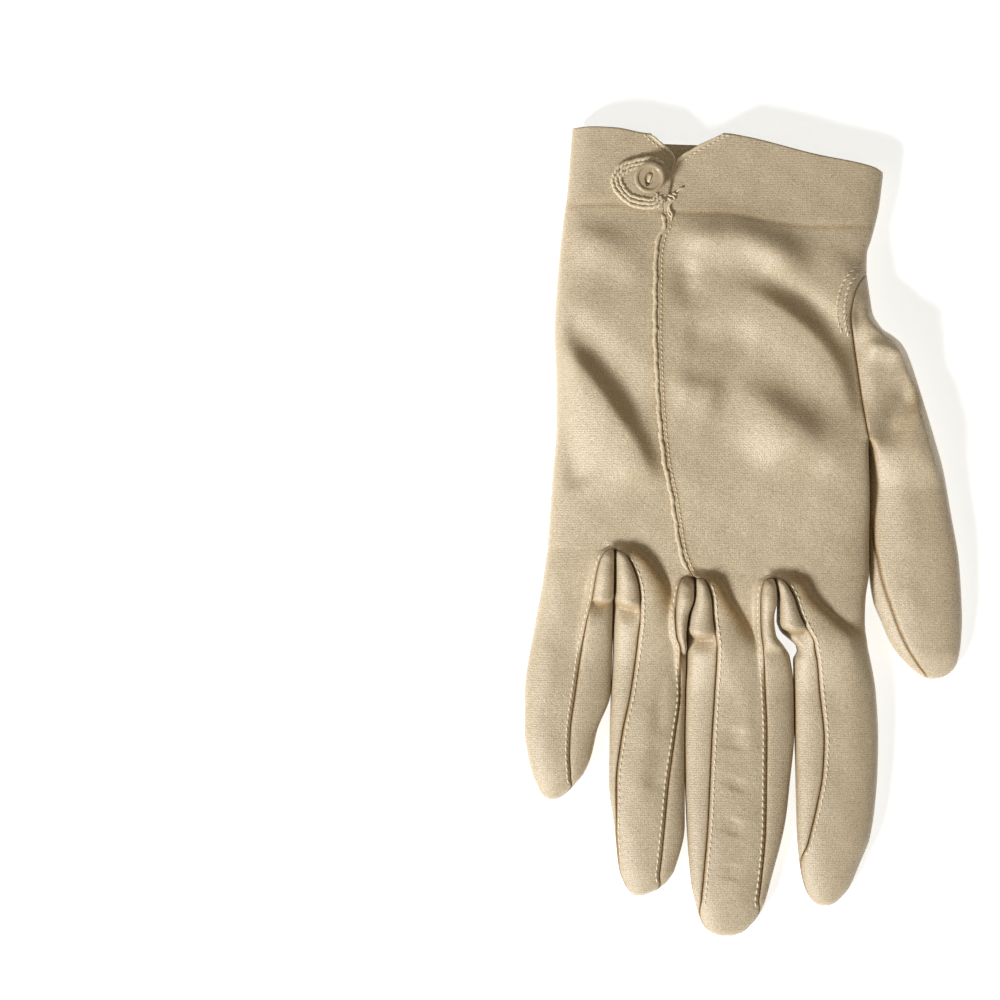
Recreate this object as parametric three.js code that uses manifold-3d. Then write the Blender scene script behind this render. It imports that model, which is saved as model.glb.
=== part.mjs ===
// A lady's short fabric glove for the right hand, lying palm down on a table.
// Units are millimetres. +X points to the thumb side, +Y to the cuff and +Z up. The palm rests on Z = 0.
import * as THREE from 'three';
import { mergeVertices } from 'three/addons/utils/BufferGeometryUtils.js';
import Module from 'manifold-3d';

const wasm = await Module();
wasm.setup();

// Cloth and seams
const WALL = 1.0;
const HEM_WALL = 0.8;
const SEAM_GAP = 0.34;
const SIDE_ROOM = 0.2;
const BACK_BEND = 4.6;
const PALM_BEND = 4;
const PALM_FLAT_SHARE = 1.04;
const PALM_SEAM_SHARE = 0.8;
const HAND_WAIST = 4.6;
const STRIP_END_WIDTH = 1.6;

// Places along the hand, as shares of the way from the finger forks (0) to the cuff's edge (1)
const HEM_LINE = 0.82;
const ARC_TOP = 0.735;
const ARC_END = 0.345;
const HAND_ROWS = [1, 0.94, 0.88, HEM_LINE, 0.775, ARC_TOP, 0.7, 0.65, 0.6, 0.54, 0.48, 0.42, ARC_END, 0.31,
  0.24, 0.16, 0.08, 0];
const HEM_ROWS = [0.985, 0.94, 0.89, 0.84];
const FINGER_ROWS = [0.012, 0.05, 0.1, 0.18, 0.28, 0.38, 0.48, 0.58, 0.68, 0.78, 0.86, 0.92, 0.965, 1];
const THUMB_ROWS = [0.03, 0.12, 0.24, 0.36, 0.48, 0.6, 0.7, 0.79, 0.87, 0.93, 0.97, 1];

const FORK_LINE = [
  { x: -56, y: -4.1 },
  { x: -36.5, y: -4.1 },
  { x: -13.6, y: -12.1 },
  { x: 36, y: -12.3 },
];
const CUFF_LINE = [
  { x: -48.5, y: 115 },
  { x: -43, y: 115.3 },
  { x: -36.5, y: 115 },
  { x: -26, y: 113.3 },
  { x: -5.5, y: 113.3 },
  { x: 0, y: 112.5 },
  { x: 20, y: 107.5 },
  { x: 40, y: 103 },
];
const PALM_CUFF_DROP = 2.6;
const LITTLE_SIDE = [
  { y: 115, x: -48.5 },
  { y: 96, x: -50 },
  { y: 89, x: -51 },
  { y: 74, x: -52.5 },
  { y: 57, x: -53.5 },
  { y: 30, x: -53 },
  { y: 17, x: -54 },
  { y: -4, x: -55.5 },
];
const INDEX_SIDE = [
  { y: 103, x: 40 },
  { y: 93, x: 38.8 },
  { y: 89, x: 38 },
  { y: 83, x: 36.5 },
  { y: 79, x: 35.4 },
  { y: 73.4, x: 35.3 },
  { y: 28, x: 35.3 },
  { y: 4, x: 36 },
  { y: -12, x: 36 },
];
const THUMB_ARC = [
  { y: 73.4, x: 34 },
  { y: 70.3, x: 32.5 },
  { y: 66.5, x: 31.1 },
  { y: 61, x: 30.3 },
  { y: 55, x: 31 },
  { y: 46.5, x: 32.2 },
  { y: 35.5, x: 33.8 },
  { y: 28, x: 35.1 },
];
const THUMB_TIP_Y = -41.9;
const THUMB_OUTER_SIDE = [
  { y: 73.4, x: 35.3 },
  { y: 66.5, x: 36.3 },
  { y: 62.5, x: 37 },
  { y: 59.5, x: 39 },
  { y: 57.5, x: 42 },
  { y: 55, x: 45 },
  { y: 51.5, x: 47 },
  { y: 41, x: 50.5 },
  { y: 28, x: 54.4 },
  { y: 19, x: 57 },
  { y: 6, x: 59.3 },
  { y: -8, x: 61.6 },
  { y: -25, x: 62.6 },
  { y: -36, x: 61.8 },
  { y: -40.6, x: 59 },
  { y: THUMB_TIP_Y, x: 56.5 },
];
const THUMB_INNER_SIDE = [
  { y: 28, x: 35.9 },
  { y: 10, x: 36.5 },
  { y: -8, x: 36.9 },
  { y: -14, x: 36.9 },
  { y: -19.5, x: 37.9 },
  { y: -25, x: 39.6 },
  { y: -32.5, x: 43 },
  { y: -38.3, x: 47.9 },
  { y: THUMB_TIP_Y, x: 52.5 },
];
const THUMB_HEIGHT = [
  { y: 28, x: 13.2 },
  { y: 14, x: 12 },
  { y: -20, x: 10 },
  { y: -34, x: 8 },
  { y: THUMB_TIP_Y, x: 4 },
];
const HAND_HEIGHT = [
  { y: 115, x: 10.6 },
  { y: 100, x: 11.2 },
  { y: 88, x: 12 },
  { y: 60, x: 14.2 },
  { y: 30, x: 14.4 },
  { y: 5, x: 13.6 },
  { y: -12, x: 12.8 },
];
// The centre seam of the back, with the vent's slit and the notch above it
const CENTRE_SEAM = [
  { y: 113.3, left: -26.2, right: -5.7 },
  { y: 105, left: -19.4, right: -19.2 },
  { y: 104, left: -19.6, right: -19.6 },
  { y: 92.5, left: -22.8, right: -22.8 },
  { y: 88.2, left: -21.6, right: -21.6 },
  { y: 84, left: -23.1, right: -23.1 },
  { y: 77.5, left: -24.2, right: -24.2 },
  { y: 56.5, left: -24.5, right: -24.5 },
  { y: 30.5, left: -23.2, right: -23.2 },
  { y: 19, left: -21.9, right: -21.9 },
  { y: 4, left: -18.8, right: -18.8 },
  { y: -12, left: -14, right: -13.8 },
];
// Fork rails run from each fork to the cuff
const FORKS = {
  littleRing: { fork: -36.5, cuff: -38 },
  ringMiddle: { fork: -13.7, cuff: -14 },
  middleIndex: { fork: 8.6, cuff: 8 },
};

// Fingers: edges and back seams. `forkY` is where the right-hand edge starts, and the left-hand one starts
// `tilt` higher. Below `sideEnd` the side strips have run out.
const FINGERS = {
  little: {
    forkY: -4.1,
    tilt: 0,
    sideEnd: -71.5,
    rows: [
      { y: -4.1, left: -55.5, right: -36.5, seamRight: -36.9, height: 12.6, bend: 5 },
      { y: -15, left: -57, right: -36.5, seamRight: -42.8, height: 11.6, bend: 3.4 },
      { y: -26, left: -59.1, right: -36.8, seamRight: -44.7, height: 10.6, bend: 2.8 },
      { y: -45.5, left: -62, right: -37.4, seamRight: -47.6, height: 9.8, bend: 2.6 },
      { y: -56.5, left: -62.1, right: -41.3, seamRight: -49, height: 9.2, bend: 2.5 },
      { y: -63.5, left: -61.1, right: -42.9, seamRight: -49.2, height: 8.6, bend: 2.4 },
      { y: -72.2, left: -58.4, right: -47.9, seamRight: -49, height: 6.4, bend: 2.2 },
      { y: -75, left: -56.8, right: -50.6, seamRight: -51, height: 4.8, bend: 2 },
      { y: -76.2, left: -55.4, right: -52.4, seamRight: -53, height: 3.6, bend: 2 },
    ],
  },
  ring: {
    forkY: -12.2,
    tilt: 8,
    sideEnd: -92,
    rows: [
      { y: -4.1, left: -36.5, right: -13.7, seamLeft: -35.5, seamRight: -14.6, height: 12.8, bend: 5 },
      { y: -14, left: -36.5, right: -13.8, seamLeft: -30.2, seamRight: -18, height: 12.2, bend: 4 },
      { y: -24, left: -36.8, right: -15.5, seamLeft: -29.4, seamRight: -19.4, height: 11.2, bend: 3 },
      { y: -33, left: -36.9, right: -16.1, seamLeft: -30.2, seamRight: -18, height: 10.6, bend: 2.8 },
      { y: -45.5, left: -37.4, right: -16.4, seamLeft: -31.9, seamRight: -17.9, height: 10, bend: 2.6 },
      { y: -57.5, left: -37.8, right: -16.7, seamLeft: -34.3, seamRight: -19.2, height: 9.6, bend: 2.6 },
      { y: -71.5, left: -38, right: -16.7, seamLeft: -35.9, seamRight: -21.1, height: 9.2, bend: 2.5 },
      { y: -83.5, left: -36.5, right: -16.5, seamLeft: -35.9, seamRight: -22.2, height: 8.6, bend: 2.4 },
      { y: -96, left: -35.1, right: -19.1, seamLeft: -34.8, seamRight: -23.4, height: 7, bend: 2.2 },
      { y: -102, left: -32.4, right: -24, seamLeft: -32, seamRight: -25, height: 4.8, bend: 2 },
      { y: -103.7, left: -30.8, right: -27.4, seamLeft: -30, seamRight: -28, height: 3.6, bend: 2 },
    ],
  },
  middle: {
    forkY: -12.2,
    tilt: 0,
    sideEnd: -106,
    rows: [
      { y: -12.2, left: -13.7, right: 8.6, seamLeft: -12.6, seamRight: 7.4, height: 12.8, bend: 5 },
      { y: -19, left: -13.8, right: 9.6, seamLeft: -9.1, seamRight: 4.6, height: 12, bend: 3.6 },
      { y: -24, left: -15.3, right: 8.8, seamLeft: -8.6, seamRight: 4.7, height: 11.4, bend: 3 },
      { y: -29, left: -16, right: 9.4, seamLeft: -8, seamRight: 5, height: 11, bend: 2.8 },
      { y: -35, left: -15.6, right: 13.3, seamLeft: -7.6, seamRight: 5.7, height: 10.8, bend: 2.7 },
      { y: -45, left: -16, right: 14.5, seamLeft: -8, seamRight: 6.3, height: 10.4, bend: 2.6 },
      { y: -57, left: -16.2, right: 14.6, seamLeft: -8.7, seamRight: 6.8, height: 10, bend: 2.6 },
      { y: -70.5, left: -16.1, right: 13.7, seamLeft: -9.3, seamRight: 6.7, height: 9.6, bend: 2.5 },
      { y: -82, left: -15.7, right: 12.4, seamLeft: -9.8, seamRight: 6.6, height: 9.2, bend: 2.5 },
      { y: -99, left: -14.7, right: 8.3, seamLeft: -11.1, seamRight: 5.4, height: 8, bend: 2.3 },
      { y: -110, left: -12, right: 4.3, seamLeft: -11, seamRight: 4, height: 6, bend: 2.2 },
      { y: -114, left: -8.4, right: 0.2, seamLeft: -8, seamRight: 0, height: 4.4, bend: 2 },
      { y: -115.3, left: -6, right: -2.6, seamLeft: -6, seamRight: -2.6, height: 3.6, bend: 2 },
    ],
  },
  index: {
    forkY: -12.3,
    tilt: 0,
    sideEnd: -91,
    rows: [
      { y: -12.3, left: 8.6, right: 36, seamLeft: 10, height: 12.8, bend: 5 },
      { y: -18, left: 9.9, right: 35.1, seamLeft: 14, height: 12.2, bend: 4 },
      { y: -25, left: 9.8, right: 34.9, seamLeft: 16.8, height: 11.6, bend: 3.2 },
      { y: -30.5, left: 13.7, right: 35.5, seamLeft: 19.7, height: 11, bend: 2.9 },
      { y: -36, left: 14.6, right: 36.5, seamLeft: 20.8, height: 10.6, bend: 2.7 },
      { y: -45.5, left: 15.1, right: 38.1, seamLeft: 21.8, height: 10.2, bend: 2.6 },
      { y: -59, left: 15.3, right: 38.8, seamLeft: 23.1, height: 9.8, bend: 2.6 },
      { y: -77.5, left: 15.4, right: 37.9, seamLeft: 21.1, height: 9.2, bend: 2.5 },
      { y: -86.5, left: 15.7, right: 36.6, seamLeft: 19.1, height: 8.6, bend: 2.4 },
      { y: -95, left: 16.5, right: 33.3, seamLeft: 17.2, height: 7.4, bend: 2.3 },
      { y: -101.5, left: 18.5, right: 30.6, seamLeft: 19, height: 6, bend: 2.2 },
      { y: -105.3, left: 21.2, right: 27.3, seamLeft: 21.6, height: 4.4, bend: 2 },
      { y: -106.7, left: 22.4, right: 25.8, seamLeft: 22.8, height: 3.6, bend: 2 },
    ],
  },
};

// Folds of the back: a ridge (height above 0) or a dent (below 0) along a straight crest
const FOLDS = [
  { fromX: -55, fromY: 55, toX: -42, toY: 43, width: 6.5, height: 1.8 },
  { fromX: -42, fromY: 43, toX: -26, toY: 16, width: 6.5, height: 1.8 },
  { fromX: -47, fromY: 60, toX: -28, toY: 33, width: 5, height: -1 },
  { fromX: -9, fromY: 75, toX: 8, toY: 72, width: 6, height: 1.6 },
  { fromX: 8, fromY: 72, toX: 28, toY: 51, width: 6, height: 1.9 },
  { fromX: 10, fromY: 80, toX: 30, toY: 60, width: 5, height: -1.1 },
  { fromX: -2, fromY: 38, toX: 24, toY: 26, width: 6, height: 1.4 },
  { fromX: 8, fromY: 42, toX: 25, toY: 36, width: 4.5, height: -0.8 },
  { fromX: -15, fromY: 84, toX: 3, toY: 80, width: 5, height: 0.9 },
  { fromX: 36, fromY: 51, toX: 45, toY: 50, width: 4, height: 0.8 },
  { fromX: 43, fromY: 41, toX: 41, toY: 27, width: 4, height: -0.9 },
];

// Button, tab and thread
const BUTTON = { x: -26.8, y: 100.2, radius: 4.2, thickness: 2.1, lift: 1.3, dish: 0.35, rim: 0.7 };
const EYE = { length: 5, width: 2.9, depth: 0.7, tilt: THREE.MathUtils.degToRad(71) };
const HOLE = { radius: 0.6, spacing: 2.6 };
const THREAD = { radius: 0.3, postRadius: 1.4 };
const TAB = { reachLeft: 10.9, reachRight: 6.4, reachUp: 6.3, reachDown: 8.8, thickness: 1, holeRadius: 1.8 };
const RIDGE = { radius: 0.45, sides: 6, steps: 22, from: 1.0, to: 5.3, insets: [0.55, 1.75, 2.95] };
const WELT = { width: 1.2, height: 0.9, topY: 90, bottomY: -8, steps: 26 };

const cloth = (colour) => new THREE.MeshStandardMaterial({ color: colour, roughness: 0.85, metalness: 0 });
const BACK_CLOTH = 0xc9b899;
const PALM_CLOTH = 0xb9a683;
const SIDE_CLOTH = 0xbfac88;
const TRIM_CLOTH = 0xd8cba9;
const BUTTON_SHELL = 0xcfc3b0;

const group = new THREE.Group();

// Value of a table's column at a place along its key, through a smooth curve that never overshoots.
function along(table, key, column, at) {
  const rows = [...table].sort((a, b) => a[key] - b[key]);
  const last = rows.length - 1;
  if (at <= rows[0][key]) return rows[0][column];
  if (at >= rows[last][key]) return rows[last][column];
  const slope = (k) => (rows[k + 1][column] - rows[k][column]) / (rows[k + 1][key] - rows[k][key]);
  const bend = (k) => {
    if (k === 0) return slope(0);
    if (k === last) return slope(last - 1);
    const product = slope(k - 1) * slope(k);
    return product <= 0 ? 0 : (2 * product) / (slope(k - 1) + slope(k));
  };
  const low = rows.findIndex((row, k) => k < last && at < rows[k + 1][key]);
  const span = rows[low + 1][key] - rows[low][key];
  const t = (at - rows[low][key]) / span;
  const start = rows[low][column] * (1 + 2 * t) * (1 - t) ** 2 + bend(low) * span * t * (1 - t) ** 2;
  const end = rows[low + 1][column] * t * t * (3 - 2 * t) + bend(low + 1) * span * t * t * (t - 1);
  return start + end;
}

// Y of the hand's row `share` at the place x, on the back or on the palm.
function rowY(x, share, onPalm = false) {
  const across = THREE.MathUtils.clamp((x + 4.5) / 44.5, -1, 1);
  const drop = onPalm ? PALM_CUFF_DROP * (1 - across * across) : 0;
  return THREE.MathUtils.lerp(along(FORK_LINE, 'x', 'y', x), along(CUFF_LINE, 'x', 'y', x) - drop, share);
}

// Cross-section of the hand in one row. Beside the arc the thumb is part of it.
function handSection(share) {
  const left = along(LITTLE_SIDE, 'y', 'x', rowY(-52, share));
  const sideY = rowY(36, share);
  const withThumb = share <= ARC_TOP && share >= ARC_END;
  const right = along(withThumb ? THUMB_OUTER_SIDE : INDEX_SIDE, 'y', 'x', sideY);
  const height = along(HAND_HEIGHT, 'y', 'x', rowY(0, share));
  return { left, right, height, waist: HAND_WAIST, bend: BACK_BEND, tilt: 0, share };
}

function fingerSection(finger, share) {
  const rows = finger.rows;
  const y = THREE.MathUtils.lerp(finger.forkY, rows[rows.length - 1].y, share);
  const tilt = finger.tilt * (1 - THREE.MathUtils.smoothstep(share, 0, 0.3));
  const height = along(rows, 'y', 'height', y);
  const station = FINGER_ROWS.indexOf(share);
  const before = THREE.MathUtils.lerp(finger.forkY, rows[rows.length - 1].y, FINGER_ROWS[station - 1] ?? 0);
  const strip = y > finger.sideEnd ? 'sewn' : 'gone';
  return {
    strip: strip === 'gone' && before > finger.sideEnd ? 'ending' : strip,
    left: along(rows, 'y', 'left', y + tilt) + SIDE_ROOM,
    right: along(rows, 'y', 'right', y) - SIDE_ROOM,
    height,
    waist: Math.min(HAND_WAIST, height * 0.46),
    bend: along(rows, 'y', 'bend', y),
    tilt,
    y,
  };
}

function thumbSection(share) {
  const y = THREE.MathUtils.lerp(28, THUMB_TIP_Y, share);
  const height = along(THUMB_HEIGHT, 'y', 'x', y);
  return {
    left: along(THUMB_INNER_SIDE, 'y', 'x', y),
    right: along(THUMB_OUTER_SIDE, 'y', 'x', y),
    height,
    waist: Math.min(HAND_WAIST, height * 0.46),
    bend: THREE.MathUtils.lerp(3.4, 2.2, share),
    tilt: 0,
    y,
  };
}

function foldHeight(x, y) {
  const place = new THREE.Vector3(x, y, 0);
  const nearest = new THREE.Vector3();
  let height = 0;
  for (const fold of FOLDS) {
    const from = new THREE.Vector3(fold.fromX, fold.fromY, 0);
    const crest = new THREE.Line3(from, new THREE.Vector3(fold.toX, fold.toY, 0));
    crest.closestPointToPoint(place, true, nearest);
    height += fold.height * Math.exp(-((nearest.distanceTo(place) / fold.width) ** 2));
  }
  return height;
}

// Point of a section at a turn (0 at the right edge, a quarter turn on top), inset from the outside.
function rimPoint(section, turn, inset = 0) {
  const middle = (section.left + section.right) / 2;
  const half = (section.right - section.left) / 2 - inset;
  const across = Math.cos(turn);
  const up = Math.sin(turn);
  const power = 2 / (up > 0 ? section.bend : PALM_BEND);
  const x = middle + half * Math.sign(across) * Math.abs(across) ** power;
  const rise = Math.abs(up) ** power;
  const onPalm = up < 0;
  const lean = (section.tilt * (section.right - x)) / (section.right - section.left);
  const y = section.share === undefined ? section.y + lean : rowY(x, section.share, onPalm);
  if (onPalm) {
    const z = section.waist - (section.waist - inset) * Math.min(1, PALM_FLAT_SHARE * rise);
    return new THREE.Vector3(x, y, z);
  }
  const folded = section.share === undefined ? 0 : THREE.MathUtils.smoothstep(rise, 0.55, 1);
  const fold = folded * foldHeight(x, y);
  return new THREE.Vector3(x, y, section.waist + (section.height - inset - section.waist) * rise + fold);
}

function turnOnBack(section, x) {
  const half = (section.right - section.left) / 2;
  const share = THREE.MathUtils.clamp((x - (section.left + section.right) / 2) / half, -1, 1);
  return Math.acos(Math.sign(share) * Math.abs(share) ** (section.bend / 2));
}

function turnOnPalm(section, x) {
  const half = (section.right - section.left) / 2;
  const share = THREE.MathUtils.clamp((x - (section.left + section.right) / 2) / half, -1, 1);
  return 2 * Math.PI - Math.acos(Math.sign(share) * Math.abs(share) ** (PALM_BEND / 2));
}

// Turn at some height over the widest place of a section, or at some depth under it.
function turnOverWaist(section, height, side) {
  const turn = Math.asin((height / (section.height - section.waist)) ** (section.bend / 2));
  return side < 0 ? Math.PI - turn : turn;
}

function turnUnderWaist(section, depth, side) {
  const turn = Math.asin((depth / (section.waist * PALM_FLAT_SHARE)) ** (PALM_BEND / 2));
  return side < 0 ? Math.PI + turn : 2 * Math.PI - turn;
}

// Columns evenly spaced along a section between two turns: pairs of an outer and an inner point.
function columns(section, fromTurn, toTurn, count, wall = WALL, inset = 0) {
  const fine = 60;
  const turns = Array.from({ length: fine + 1 }, (_, k) => THREE.MathUtils.lerp(fromTurn, toTurn, k / fine));
  const points = turns.map((turn) => rimPoint(section, turn));
  const lengths = [0];
  for (let k = 1; k <= fine; k += 1) lengths.push(lengths[k - 1] + points[k].distanceTo(points[k - 1]));
  return Array.from({ length: count + 1 }, (_, column) => {
    const goal = (lengths[fine] * column) / count;
    const passed = lengths.filter((length) => length < goal).length;
    const k = THREE.MathUtils.clamp(passed - 1, 0, fine - 1);
    const t = (goal - lengths[k]) / Math.max(1e-9, lengths[k + 1] - lengths[k]);
    const turn = THREE.MathUtils.lerp(turns[k], turns[k + 1], THREE.MathUtils.clamp(t, 0, 1));
    return { outer: rimPoint(section, turn, inset), inner: rimPoint(section, turn, inset + wall) };
  });
}

// Closed slab from a grid of outer and inner points. Cells that are not present leave an opening.
function slab(grid, present = () => true, ring = false) {
  const rows = grid.length;
  const width = grid[0].length;
  const cellsAcross = ring ? width : width - 1;
  const positions = [];
  for (const row of grid) for (const pair of row) positions.push(...pair.outer.toArray(), ...pair.inner.toArray());
  const outer = (i, j) => 2 * (i * width + (j % width));
  const inner = (i, j) => outer(i, j) + 1;
  const filled = (i, j) => {
    if (i < 0 || i >= rows - 1) return false;
    if (!ring && (j < 0 || j >= cellsAcross)) return false;
    return present(i, (j + cellsAcross) % cellsAcross);
  };
  const faces = [];
  const quad = (a, b, c, d) => faces.push(a, b, c, a, c, d);
  for (let i = 0; i < rows - 1; i += 1) {
    for (let j = 0; j < cellsAcross; j += 1) {
      if (!filled(i, j)) continue;
      quad(outer(i, j), outer(i, j + 1), outer(i + 1, j + 1), outer(i + 1, j));
      quad(inner(i, j), inner(i + 1, j), inner(i + 1, j + 1), inner(i, j + 1));
      if (!filled(i - 1, j)) quad(outer(i, j), inner(i, j), inner(i, j + 1), outer(i, j + 1));
      if (!filled(i + 1, j)) quad(outer(i + 1, j + 1), inner(i + 1, j + 1), inner(i + 1, j), outer(i + 1, j));
      if (!filled(i, j - 1)) quad(outer(i + 1, j), inner(i + 1, j), inner(i, j), outer(i, j));
      if (!filled(i, j + 1)) quad(outer(i, j + 1), inner(i, j + 1), inner(i + 1, j + 1), outer(i + 1, j + 1));
    }
  }
  const geometry = new THREE.BufferGeometry();
  geometry.setAttribute('position', new THREE.Float32BufferAttribute(positions, 3));
  geometry.setIndex(faces);
  return facingOut(geometry);
}

// Turns every triangle round when the solid is inside out, and drops unused points.
function facingOut(geometry) {
  const shape = geometry.toNonIndexed();
  const place = shape.getAttribute('position');
  const corner = [new THREE.Vector3(), new THREE.Vector3(), new THREE.Vector3()];
  let volume = 0;
  for (let k = 0; k < place.count; k += 3) {
    corner.forEach((point, n) => point.fromBufferAttribute(place, k + n));
    volume += corner[0].dot(corner[1].clone().cross(corner[2]));
  }
  const merged = mergeVertices(shape, 1e-4);
  if (volume < 0) merged.getIndex().array.reverse();
  merged.computeVertexNormals();
  return merged;
}

function addPiece(name, geometry, colour, finish = cloth) {
  const mesh = new THREE.Mesh(geometry, finish(colour));
  mesh.name = name;
  group.add(mesh);
  return mesh;
}

function forkRail(fork, share) {
  return THREE.MathUtils.lerp(fork.fork, fork.cuff, share);
}

function centreX(side, share) {
  const y = rowY(-20, share);
  return along(CENTRE_SEAM, 'y', side, y);
}

// Edges of a finger's strip in a row of the hand: null stands for a side that wraps round.
function handStrip(name, share, onPalm) {
  const room = SEAM_GAP / 2;
  const beside = share <= ARC_TOP && share >= ARC_END;
  const arc = beside ? along(THUMB_ARC, 'y', 'x', rowY(33, share)) - room : null;
  const ringRight = onPalm ? forkRail(FORKS.ringMiddle, share) : centreX('left', share);
  const middleLeft = onPalm ? forkRail(FORKS.ringMiddle, share) : centreX('right', share);
  const edges = {
    little: [null, forkRail(FORKS.littleRing, share) - room],
    ring: [forkRail(FORKS.littleRing, share) + room, ringRight - room],
    middle: [middleLeft + room, forkRail(FORKS.middleIndex, share) - room],
    index: [forkRail(FORKS.middleIndex, share) + room, arc],
  };
  return edges[name];
}

function stripTurns(section, edges, onPalm) {
  const [left, right] = edges;
  if (onPalm) {
    return [
      left === null ? turnUnderWaist(section, SEAM_GAP, -1) : turnOnPalm(section, left),
      right === null ? turnUnderWaist(section, SEAM_GAP, 1) : turnOnPalm(section, right),
    ];
  }
  return [
    left === null ? Math.PI : turnOnBack(section, left),
    right === null ? 0 : turnOnBack(section, right),
  ];
}

// Turn at one side of a finger where a piece ends, `room` away from the seam with the side strip.
function seamTurn(finger, section, side, onPalm, room) {
  const column = side < 0 ? 'seamLeft' : 'seamRight';
  const hasStrip = finger.rows[0][column] !== undefined;
  if (!hasStrip || section.strip === 'gone') {
    return stripTurns(section, [null, null], onPalm)[side < 0 ? 0 : 1];
  }
  const endWidth = STRIP_END_WIDTH / 2 + 2 * room;
  if (onPalm) {
    const middle = (section.left + section.right) / 2;
    const seam = middle + (side * PALM_SEAM_SHARE * (section.right - section.left)) / 2;
    if (section.strip === 'ending') return turnUnderWaist(section, endWidth, side);
    return turnOnPalm(section, seam - side * room);
  }
  const seam = along(finger.rows, 'y', column, section.y + (side < 0 ? section.tilt : 0));
  if (section.strip === 'ending') return turnOverWaist(section, endWidth, side);
  return turnOnBack(section, seam - side * room);
}

// Panel from the cuff to the tips of the named fingers.
function handPanel(strips, onPalm) {
  const grid = [];
  for (const share of HAND_ROWS) {
    const section = handSection(share);
    grid.push(strips.flatMap(({ name, count }) => {
      const [from, to] = stripTurns(section, handStrip(name, share, onPalm), onPalm);
      return columns(section, from, to, count);
    }));
  }
  for (const share of FINGER_ROWS) {
    grid.push(strips.flatMap(({ name, count }) => {
      const finger = FINGERS[name];
      const section = fingerSection(finger, share);
      const [from, to] = [-1, 1].map((side) => seamTurn(finger, section, side, onPalm, SEAM_GAP / 2));
      return columns(section, from, to, count);
    }));
  }
  const gaps = [];
  strips.reduce((column, strip) => {
    gaps.push(column + strip.count);
    return column + strip.count + 1;
  }, 0);
  const present = (i, j) => i < HAND_ROWS.length - 1 || !gaps.includes(j);
  return slab(grid, present);
}

// Side strip of a finger, sewn between its back and its under side.
function fourchette(finger, side, count) {
  const sections = FINGER_ROWS.map((share) => fingerSection(finger, share));
  const grid = sections.filter((section) => section.strip !== 'gone').map((section) => {
    const backTurn = seamTurn(finger, section, side, false, -SEAM_GAP / 2);
    const palmTurn = seamTurn(finger, section, side, true, -SEAM_GAP / 2);
    return columns(section, backTurn, side < 0 ? palmTurn : palmTurn - 2 * Math.PI, count);
  });
  return slab(grid);
}

function thumbPanel(onPalm, count) {
  const room = SEAM_GAP / 2;
  const besideHand = HAND_ROWS.filter((share) => share <= ARC_TOP && share >= ARC_END);
  const grid = besideHand.map((share) => {
    const section = handSection(share);
    const arc = along(THUMB_ARC, 'y', 'x', rowY(33, share)) + room;
    const [from, to] = stripTurns(section, [arc, null], onPalm);
    return columns(section, from, to, count);
  });
  for (const share of THUMB_ROWS) {
    const section = thumbSection(share);
    const [from, to] = stripTurns(section, [null, null], onPalm);
    grid.push(columns(section, from, to, count));
  }
  return slab(grid);
}

// Turned-in layer of the hem, inside the panel made of the named strips.
function hemLayer(strips, onPalm) {
  const inset = WALL + SEAM_GAP;
  const grid = HEM_ROWS.map((share) => {
    const section = handSection(share);
    return strips.flatMap(({ name, count }) => {
      const [from, to] = stripTurns(section, handStrip(name, share, onPalm), onPalm);
      return columns(section, from, to, count, HEM_WALL, inset);
    });
  });
  return slab(grid);
}

// Height of the back's outer surface at a place near the cuff or on the hand.
function backHeight(x, y) {
  const forkY = along(FORK_LINE, 'x', 'y', x);
  const share = (y - forkY) / (along(CUFF_LINE, 'x', 'y', x) - forkY);
  const section = handSection(THREE.MathUtils.clamp(share, 0, 1));
  return rimPoint(section, turnOnBack(section, x)).z;
}

function centreSeamWelt() {
  const grid = Array.from({ length: WELT.steps + 1 }, (_, k) => {
    const y = THREE.MathUtils.lerp(WELT.topY, WELT.bottomY, k / WELT.steps);
    const middle = along(CENTRE_SEAM, 'y', 'left', y) - SEAM_GAP - WELT.width / 2;
    return [-1, 0, 1].map((across) => {
      const x = middle + (across * WELT.width) / 2;
      const foot = backHeight(x, y) + SEAM_GAP;
      const crown = foot + WELT.height * (across === 0 ? 1 : 0.6);
      return { outer: new THREE.Vector3(x, y, crown), inner: new THREE.Vector3(x, y, foot) };
    });
  });
  return slab(grid);
}

// Place on the tab at an angle from the button, some way in from the tab's outline.
function tabPlace(angle, inset) {
  const across = Math.cos(angle);
  const up = Math.sin(angle);
  return new THREE.Vector2(
    BUTTON.x + across * ((across < 0 ? TAB.reachLeft : TAB.reachRight) - inset),
    BUTTON.y + up * ((up > 0 ? TAB.reachUp : TAB.reachDown) - inset),
  );
}

function buttonTab() {
  const around = 24;
  const shares = [0, 0.5, 1];
  const grid = shares.map((share) => Array.from({ length: around }, (_, k) => {
    const angle = (2 * Math.PI * k) / around;
    const hole = new THREE.Vector2(
      BUTTON.x + TAB.holeRadius * Math.cos(angle),
      BUTTON.y + TAB.holeRadius * Math.sin(angle),
    );
    const place = hole.lerp(tabPlace(angle, 0), share);
    const foot = backHeight(place.x, place.y) + SEAM_GAP;
    return {
      outer: new THREE.Vector3(place.x, place.y, foot + TAB.thickness),
      inner: new THREE.Vector3(place.x, place.y, foot),
    };
  }));
  return slab(grid, undefined, true);
}

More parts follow.
